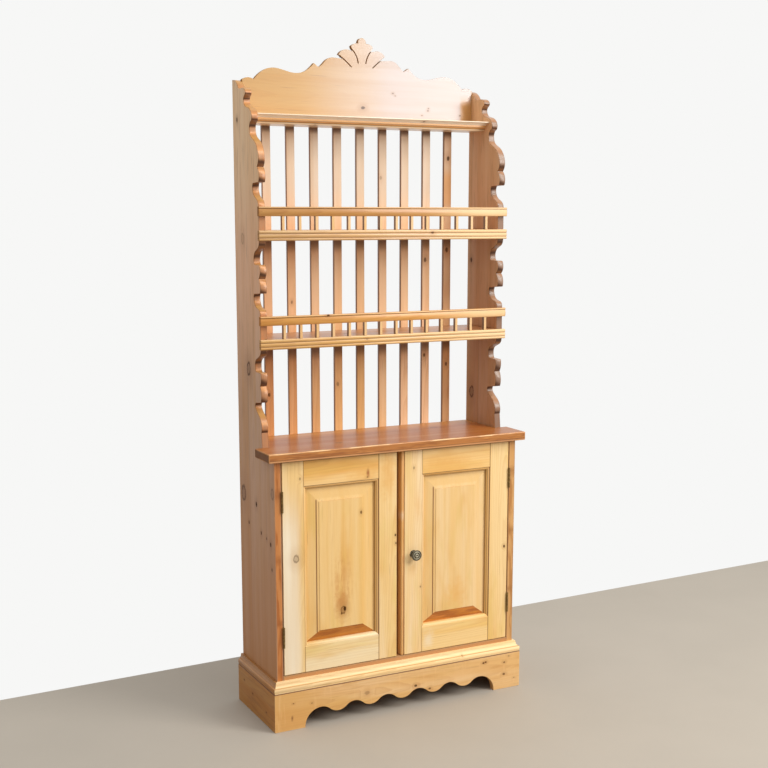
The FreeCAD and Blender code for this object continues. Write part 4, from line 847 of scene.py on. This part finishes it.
def stuck_marks(wood, piece, axis, sign, dark_share=1.0):
    """Marks on a door frame's piece: painted shade on its moulding, a dark line in the quirk beside the flat
    and along the arris, painted light on the moulding's inner wall, and grime with painted shadow at its
    foot. The moulding runs along its high side when sign is 1, and along its low side when it is -1."""
    dirt_and_shade = door_dirt_and_shade(wood)
    low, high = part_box(piece)
    sight = getattr(high if sign > 0 else low, axis)
    inner = line(axis, sight, 0.004)
    thin = 0.6 if axis == "z" else 1.0
    # In turn: painted shade on the moulding, a dark quirk line, painted light on the inner wall, a dark arris
    # line, and grime with painted shadow at the foot
    return ((line(axis, sight - sign * 0.0052, 0.003) & band("y", low.y + 0.006, low.y + 0.004),
             scaled(wood.door, 0.82, 0.62, 0.42), 0.6 * dark_share * thin),
            (line(axis, sight - sign * 0.0086, 0.0016 * thin), dirt_and_shade, 0.85 * dark_share),
            (inner & band("y", low.y + 0.0045, low.y + 0.0049), scaled(wood.door, 1.06, 1.0, 0.85), 0.95),
            (inner & line("y", low.y + 0.0043, 0.0006), dirt_and_shade, 0.7 * dark_share),
            (inner & band("y", low.y + 0.0074, low.y + 0.008), dirt_and_shade, 0.6 * dark_share))


def raised_marks(wood, piece, share=1.0):
    """Dark lower bevel of a raised panel, an upper one painted darker as painted shade, and a painted shadow
    in the step at the field's left.
    """
    low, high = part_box(piece)
    # From the panel's edge in its groove to the raised field
    field = 0.0421
    foot = turned_to("z", -0.08, -0.16) & band("z", low.z + 0.045, low.z + 0.038)
    # The upper bevel is painted darker, painted shade
    head = turned_to("z", 0.08, 0.16) & band("z", high.z - 0.045, high.z - 0.038)
    # Painted shadow in the step at the left of the field
    left_step = (line("x", low.x + field - 0.0009, 0.0016) & band("z", low.z + 0.03, low.z + 0.034)
                 & band("z", high.z - 0.041, high.z - 0.047))
    return ((head, scaled(wood.panel, 0.9, 0.86, 0.76), 0.7),
            (foot, scaled(wood.panel_foot, share, share, share ** 3), 0.95),
            (foot & streaks("x", 0.46, 0.6), scaled(wood.panel_foot, 0.6, 0.48, 0.36), 0.6),
            (foot & streaks("x", 0.5, 0.62, 5.0), scaled(wood.panel_foot, 1.35, 1.6, 1.9), 0.5),
            (left_step, door_dirt_and_shade(wood), 0.9))


def joint_marks(wood, rail):
    """Dirt where a rail butts against the stiles' flat edges, a moulding's width inside their boxes."""
    moulding = 0.009
    marks = []
    for kind in ("hinge", "meeting"):
        low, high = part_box("%s_door_%s_stile" % (rail.split("_door")[0], kind))
        butt = high.x - moulding if high.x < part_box(rail)[1].x else low.x + moulding
        marks.append((line("x", butt, 0.0015), scaled(wood.door, 0.42, 0.28, 0.14), 0.8))
    return marks


class DRESSER_OT_doors(bpy.types.Operator):
    """Finish the frames and raised panels of both doors and the bead between them"""
    bl_idname = "dresser.doors"
    bl_label = "Doors"

    def execute(self, context):
        wood = context.scene.dresser_wood
        door, pale, panel = wood.door, wood.door_pale, wood.panel
        dirt_and_shade = door_dirt_and_shade(wood)
        amber = scaled(door, 0.93, 0.76, 0.5)
        left_panel_knots = ((-0.188, 0.332, 0.0075, 0.7), (-0.1815, 0.3355, 0.0042, 1.0),
                            (-0.193, 0.322, 0.0025, 0.8), (-0.127, 0.623, 0.003, 0.8))
        left_panel_stains = (
            (patch("x", -0.19, 0.036, "z", 0.355, 0.08), scaled(panel, 0.66, 0.44, 0.28), 0.85),
            (patch("x", -0.19, 0.05, "z", 0.43, 0.13) & streaks("z", 0.42, 0.58),
             scaled(panel, 0.74, 0.52, 0.34), 0.7))
        # Piece, grain, tone, seed, knots and overlays, then what stuck_marks is told of its moulding
        plans = (
            ("left_door_hinge_stile", "z", scaled(door, 1.0, 1.05, 1.2), 50.1,
             ((-0.339, 0.508, 0.0085, 0.6), (-0.324, 0.743, 0.003, 0.5)),
             ((band("x", -0.313, -0.345) & band("z", 0.76, 0.55), pale, 0.95),), ("x", 1, 0.35)),
            ("left_door_meeting_stile", "z", scaled(door, 1.02, 1.09, 1.3), 51.8,
             ((-0.016, 0.542, 0.0022, 1.0), (-0.014, 0.517, 0.002, 1.0)),
             ((patch("x", -0.04, 0.05, "z", 0.74, 0.14), amber, 0.75),), ("x", -1)),
            ("left_door_top_rail", "x", scaled(door, 1.0, 0.94, 0.85), 52.2, ((0.728, -0.109, 0.002, 0.6),),
             ((patch("x", -0.12, 0.1, "z", 0.74, 0.035), amber, 0.8),
              (patch("x", -0.107, 0.009, "z", 0.742, 0.022), paint("96501F"), 0.95)), ("z", -1)),
            ("left_door_bottom_rail", "x", scaled(pale, 0.98, 0.88, 0.66), 53.7, (), (), ()),
            ("left_door_panel", "z", panel, 54.9, left_panel_knots, left_panel_stains, ()),
            ("right_door_hinge_stile", "z", scaled(door, 1.01, 1.02, 1.05), 55.3,
             ((0.369, 0.461, 0.003, 1.0),), (), ("x", -1)),
            ("right_door_meeting_stile", "z", scaled(door, 1.03, 1.1, 1.38), 56.6,
             ((0.046, 0.741, 0.003, 0.5), (0.07, 0.37, 0.002, 0.6)),
             ((patch("x", 0.045, 0.025, "z", 0.43, 0.04), amber, 0.35),
              (patch("x", 0.06, 0.02, "z", 0.62, 0.07), amber, 0.4)), ("x", 1, 0.35)),
            ("right_door_top_rail", "x", scaled(door, 1.0, 0.94, 0.85), 57.4, (),
             ((patch("x", 0.17, 0.12, "z", 0.745, 0.035), amber, 0.85),), ("z", -1)),
            ("right_door_bottom_rail", "x", scaled(door, 1.01, 1.0, 0.95), 58.8, (),
             ((patch("x", 0.1, 0.03, "z", 0.2, 0.05), pale, 0.6),), ()),
            ("right_door_panel", "z", scaled(panel, 1.0, 1.05, 1.25), 59.5, (),
             ((patch("x", 0.2, 0.06, "z", 0.33, 0.08), amber, 0.75),), ()),
        )
        for name, along, tone, seed, knots, overlays, moulding in plans:
            inner = "panel" in name
            marks = stuck_marks(wood, name, *moulding) if moulding else ()
            if inner:
                marks = raised_marks(wood, name, 1.0 if name.startswith("left") else 1.24)
            lines = [(turned_to("y", 0.7, 0.3) & mask, other, share) for mask, other, share in marks]
            # A painted shadow of the worktop along the top of the stiles and top rails
            if not inner and "bottom" not in name:
                lines.append((line("z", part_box(name)[1].z, 0.0024), dirt_and_shade, 0.85))
            if "rail" in name:
                lines += joint_marks(wood, name)
            finish_board(wood, name, tone, rounding=0.4 if inner else 0.6, along=along, seed=seed,
                         knots=knots, overlays=overlays, lines=lines, arris=scaled(tone, 0.85, 0.75, 0.6),
                         arris_width=0.0025, pith=(0.0, -0.12) if inner else (0.03, -0.06),
                         taper=0.008 if inner else 0.02, contrast=0.55 if inner else 0.75, blotch=1.55,
                         roughness=0.42)
        bead_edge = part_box("right_door_bead")[1].x
        finish_board(wood, "right_door_bead", wood.bead, "waxed_pine_bead", 0.4, seed=60.2,
                     arris=scaled(wood.bead, 0.7), arris_width=0.002,
                     overlays=((line("x", bead_edge - 0.001, 0.001) & band("z", 0.6, 0.64), dirt_and_shade, 0.6),
                               (patch("x", 0.009, 0.02, "z", 0.6, 0.022), pale, 0.45)))
        return {"FINISHED"}


class DRESSER_OT_hinges(bpy.types.Operator):
    """Finish the butt hinges and cut a slot into the head of each hinge screw"""
    bl_idname = "dresser.hinges"
    bl_label = "Hinges"

    def execute(self, context):
        metal = context.scene.dresser_metal
        skin = iron("aged_iron", metal.iron, metal.iron_worn, 0.6, 0.35)
        for name in ("hinge_frame_leaves", "left_door_hinge_leaves", "right_door_hinge_leaves", "hinge_pins"):
            dress(name, skin)
        steel = iron("aged_steel", metal.steel, scaled(metal.steel, 1.4), 0.42, 0.9)
        for name, body in (("hinge_frame_screws", "cabinet"), ("left_door_hinge_screws", "left_door"),
                           ("right_door_hinge_screws", "right_door")):
            points, faces = slotted_screws(name)
            surface(name.replace("hinge_", "") + "_slotted", points, faces, steel, body, name,
                    smooth=False)
        return {"FINISHED"}


def slotted_screw():
    """One countersunk screw, driven along +Z from a head at z 0. The head is a square grid pressed into a
    disc, x = a sqrt(1 - b b / 2), y = b sqrt(1 - a a / 2), whose middle columns are sunk by the depth of
    the slot. Its rim is drawn in to the shank and to a point. The faces are wound for the mirrored places
    that slotted_screws gives them."""
    radius, shank, length = 0.003, 0.0015, 0.014
    head_depth, slot_depth, point_length = 0.0016, 0.0009, 0.003
    columns = np.array([-1, -0.75, -0.5, -0.3, -0.141, -0.139, 0.139, 0.141, 0.3, 0.5, 0.75, 1.0])
    a, b = np.meshgrid(columns, np.linspace(-1, 1, 11), indexing="ij")
    depth = np.where(np.abs(a) < 0.14, slot_depth, 0.0)
    head = np.stack([a * np.sqrt(1 - b * b / 2) * radius, b * np.sqrt(1 - a * a / 2) * radius, depth], -1)
    head = head.reshape(-1, 3)
    grid = np.arange(a.size).reshape(a.shape)
    quads = np.stack([grid[1:, :-1], grid[1:, 1:], grid[:-1, 1:], grid[:-1, :-1]], -1)
    rim = np.concatenate([grid[:, 0], grid[-1, 1:], grid[-2::-1, -1], grid[0, -2:0:-1]])
    around = head[rim][:, :2] / radius
    sections = ((shank, head_depth), (shank, length - point_length), (shank * 0.25, length))
    rings = [np.column_stack([around * wide, np.full(len(rim), deep)]) for wide, deep in sections]
    points = np.vstack([head, *rings, [[0, 0, length]]])
    loops = [rim] + [len(head) + number * len(rim) + np.arange(len(rim)) for number in range(len(rings))]
    faces = quads.reshape(-1, 4).tolist()
    for upper, lower in zip(loops, loops[1:]):
        faces += np.stack([lower, np.roll(lower, -1), np.roll(upper, -1), upper], -1).tolist()
    tip = np.full(len(rim), len(points) - 1)
    faces += np.stack([tip, np.roll(loops[-1], -1), loops[-1]], -1).tolist()
    return points, faces


def slotted_screws(node):
    """Slotted screws where the node's own ones are. Their corners fall into groups with gaps in height
    between them, and on each side of the cupboard a group is one screw. It lies along X, and its slot is
    turned by an angle of its own: across = x cos t - y sin t, up = x sin t + y cos t."""
    corners = np.empty(len(NODES[node].data.vertices) * 3)
    NODES[node].data.vertices.foreach_get("co", corners)
    corners = corners.reshape(-1, 3)
    points, faces = slotted_screw()
    gap, slack = 0.002, 0.0005
    heights = np.unique(corners[:, 2].round(5))
    groups = np.split(heights, np.where(np.diff(heights) > gap)[0] + 1)
    made, used = [], []
    for sign in (-1, 1):
        mine = corners[corners[:, 0] * sign > 0]
        if not len(mine):
            continue
        for number, group in enumerate(groups):
            one = mine[(mine[:, 2] > group[0] - slack) & (mine[:, 2] < group[-1] + slack)]
            centre = (one.min(0) + one.max(0)) / 2
            into = sign if node.startswith("hinge") else -sign
            start = one[:, 0].min() if into > 0 else one[:, 0].max()
            angle = 0.6 * number + 0.9 * sign
            across = points[:, 0] * math.cos(angle) - points[:, 1] * math.sin(angle)
            up = points[:, 0] * math.sin(angle) + points[:, 1] * math.cos(angle)
            used += [[corner + len(points) * len(made) for corner in face] for face in faces]
            made.append(np.column_stack([start + into * points[:, 2], centre[1] - into * across,
                                         centre[2] + up]))
    return np.vstack(made), used


class DRESSER_OT_knob(bpy.types.Operator):
    """Turn the ringed bronze knob, and finish its rose and latch tongue"""
    bl_idname = "dresser.knob"
    bl_label = "Knob and latch"

    def execute(self, context):
        metal = context.scene.dresser_metal
        low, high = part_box("door_knob")
        centre = (low + high) / 2
        radius = (high.x - low.x) / 2
        # The neck starts just in front of the rose, and the tail runs back from there through the door
        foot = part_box("knob_rose")[0].y - 0.0003
        reach, tail = foot - low.y, foot - high.y
        spindle = np.array([[0.0004, tail], [0.0036, tail], [0.004, tail + 0.0004], [0.004, -0.0004],
                            [0.0041, 0.0]])
        # Corners of the neck and of the rings on the face, as shares of the knob's radius and reach
        neck = [(0.5, 0.0), (0.43, 0.12), (0.44, 0.3), (0.54, 0.52), (0.8, 0.68), (0.965, 0.79), (1.0, 0.86),
                (0.95, 0.925), (0.87, 0.93)]
        rings = [(0.84, 0.905), (0.79, 0.9), (0.73, 0.935), (0.66, 0.965), (0.59, 0.95), (0.53, 0.905),
                 (0.46, 0.905), (0.4, 0.94), (0.33, 0.985), (0.26, 1.0), (0.19, 0.985), (0.13, 0.945),
                 (0.07, 0.93), (0.01, 0.93)]
        size = (radius, reach)
        profile = np.vstack([spindle, smooth_line(np.array(neck) * size, 8),
                             smooth_line(np.array(rings) * size, 6)])
        points, faces = turned_shape(profile, (centre.x, foot, centre.z))
        bronze = ringed_bronze("old_bronze", metal.bronze, metal.bronze_worn_and_lit, centre, radius)
        surface("turned_knob", points, faces, bronze, "knob", "door_knob")
        dress("knob_rose", iron("dull_bronze", metal.bronze, metal.bronze_worn_and_lit, 0.5, 0.8))
        dress("latch_tongue", iron("latch_iron", metal.iron, metal.iron_worn))
        soften(NODES["latch_tongue"], 0.0005)
        return {"FINISHED"}


class DRESSER_OT_bolt(bpy.types.Operator):
    """Finish the slide bolt inside the left door"""
    bl_idname = "dresser.bolt"
    bl_label = "Slide bolt"

    def execute(self, context):
        metal = context.scene.dresser_metal
        dress("slide_bolt", iron("rubbed_steel", metal.steel, scaled(metal.steel, 1.5), 0.35, 0.9, 500.0))
        dress("bolt_plate", iron("bolt_steel", scaled(metal.steel, 0.8), metal.steel, 0.5, 0.85))
        for name in ("slide_bolt", "bolt_plate"):
            soften(NODES[name], 0.0004)
        return {"FINISHED"}


def lay_floor(tone):
    """A plain floor, whose back edge y = back + slope x is a little askew, as in the photograph."""
    recipe = Recipe(bpy.data.materials.new("pale_floor"))
    cloud = recipe.noise(recipe.place, 2.5, 4.0, 0.55)
    recipe.shown = recipe.mix(recipe.span(cloud, 0.3, 0.75, 0.0, 0.35), tone, scaled(tone, 0.88))
    relief = recipe.bump(recipe.noise(recipe.place, 60.0, 3.0), 0.0008, 0.4)
    far, back, slope = 9.0, 0.52, 0.038
    corners = ((-far, -far, 0), (far, -far, 0), (far, back + slope * far, 0), (-far, back - slope * far, 0))
    mesh = bpy.data.meshes.new("floor")
    mesh.from_pydata(corners, [], [(0, 1, 2, 3)])
    mesh.materials.append(recipe.finish(Roughness=0.75, Normal=relief))
    add_object("floor", mesh)


def set_daylight(context, strength, wall):
    """Light from all round, stronger from above. The camera and reflections see the plain wall."""
    world = bpy.data.worlds.new("soft_daylight")
    context.scene.world = world
    recipe = Recipe(world)
    height = recipe.split(recipe.make("ShaderNodeTexCoord", (), "Generated"))["z"]
    power = recipe.make("ShaderNodeMapRange", (height, 0.0, 0.7, 0.45 * strength, 1.4 * strength))
    light = recipe.make("ShaderNodeBackground", ((1.0, 0.985, 0.96), power))
    seen = recipe.make("ShaderNodeBackground", (wall, 1.0))
    camera, glossy, clear = [recipe.make("ShaderNodeLightPath", (), "Is %s Ray" % kind)
                             for kind in ("Camera", "Glossy", "Transmission")]
    share = recipe.math("MAXIMUM", recipe.math("MAXIMUM", camera, glossy), clear)
    recipe.make("ShaderNodeOutputWorld", (recipe.make("ShaderNodeMixShader", (share, light, seen)),))


def hang_lamp(name, power, place, width, height, tint):
    """A soft rectangular lamp that faces the rack's lower shelf."""
    target = Vector((0, 0, 1.2))
    lamp = bpy.data.lights.new(name, "AREA")
    lamp.energy = power
    lamp.shape = "RECTANGLE"
    lamp.size = width
    lamp.size_y = height
    lamp.color = tint
    holder = add_object(name, lamp)
    holder.location = place
    holder.rotation_euler = (target - Vector(place)).to_track_quat("-Z", "Y").to_euler()


def set_camera(context):
    """The camera that matches the photograph's view."""
    view = bpy.data.cameras.new("camera")
    view.sensor_width = 36.0
    view.lens = CAMERA_LENS
    view.shift_y = CAMERA_SHIFT
    view.clip_start = 0.05
    camera = add_object("camera", view)
    camera.location = CAMERA_PLACE
    camera.rotation_euler = CAMERA_TURN
    context.scene.camera = camera
    context.scene.view_settings.view_transform = "Standard"


class DRESSER_OT_stage(bpy.types.Operator):
    """Lay the floor and set the light, the background and the camera"""
    bl_idname = "dresser.stage"
    bl_label = "Stage"

    def execute(self, context):
        stage = context.scene.dresser_stage
        lay_floor(stage.floor)
        set_daylight(context, stage.daylight, stage.wall)
        hang_lamp("soft_lamp", stage.lamp, place=(2.55, -3.25, 2.75), width=stage.lamp_side,
                  height=stage.lamp_side, tint=(1.0, 0.97, 0.93))
        hang_lamp("top_lamp", stage.top_lamp, place=(0.9, -1.9, 3.6), width=2.6, height=0.6,
                  tint=(1.0, 0.98, 0.96))
        set_camera(context)
        return {"FINISHED"}


STEPS = (DRESSER_OT_sides, DRESSER_OT_worktop, DRESSER_OT_cupboard, DRESSER_OT_plinth, DRESSER_OT_rack,
         DRESSER_OT_crest, DRESSER_OT_slats, DRESSER_OT_doors, DRESSER_OT_hinges, DRESSER_OT_knob,
         DRESSER_OT_bolt, DRESSER_OT_stage)


class DRESSER_PT_panel(bpy.types.Panel):
    """Steps and settings of the dresser"""
    bl_idname = "DRESSER_PT_panel"
    bl_label = "Pine dresser"
    bl_space_type = "VIEW_3D"
    bl_region_type = "UI"
    bl_category = "Dresser"

    def draw(self, context):
        for group in (context.scene.dresser_wood, context.scene.dresser_metal, context.scene.dresser_stage):
            box = self.layout.box()
            for name in group.bl_rna.properties.keys():
                if name not in ("rna_type", "name"):
                    box.prop(group, name)
        for step in STEPS:
            self.layout.operator(step.bl_idname)


CLASSES = (DresserWood, DresserMetal, DresserStage, *STEPS, DRESSER_PT_panel)


def register():
    for item in CLASSES:
        bpy.utils.register_class(item)
    bpy.types.Scene.dresser_wood = PointerProperty(type=DresserWood)
    bpy.types.Scene.dresser_metal = PointerProperty(type=DresserMetal)
    bpy.types.Scene.dresser_stage = PointerProperty(type=DresserStage)


def unregister():
    del bpy.types.Scene.dresser_wood
    del bpy.types.Scene.dresser_metal
    del bpy.types.Scene.dresser_stage
    for item in reversed(CLASSES):
        bpy.utils.unregister_class(item)


def main():
    register()
    bpy.ops.dresser.sides()
    bpy.ops.dresser.worktop()
    bpy.ops.dresser.cupboard()
    bpy.ops.dresser.plinth()
    bpy.ops.dresser.rack()
    bpy.ops.dresser.crest()
    bpy.ops.dresser.slats()
    bpy.ops.dresser.doors()
    bpy.ops.dresser.hinges()
    bpy.ops.dresser.knob()
    bpy.ops.dresser.bolt()
    bpy.ops.dresser.stage()


if __name__ == "__main__":
    main()
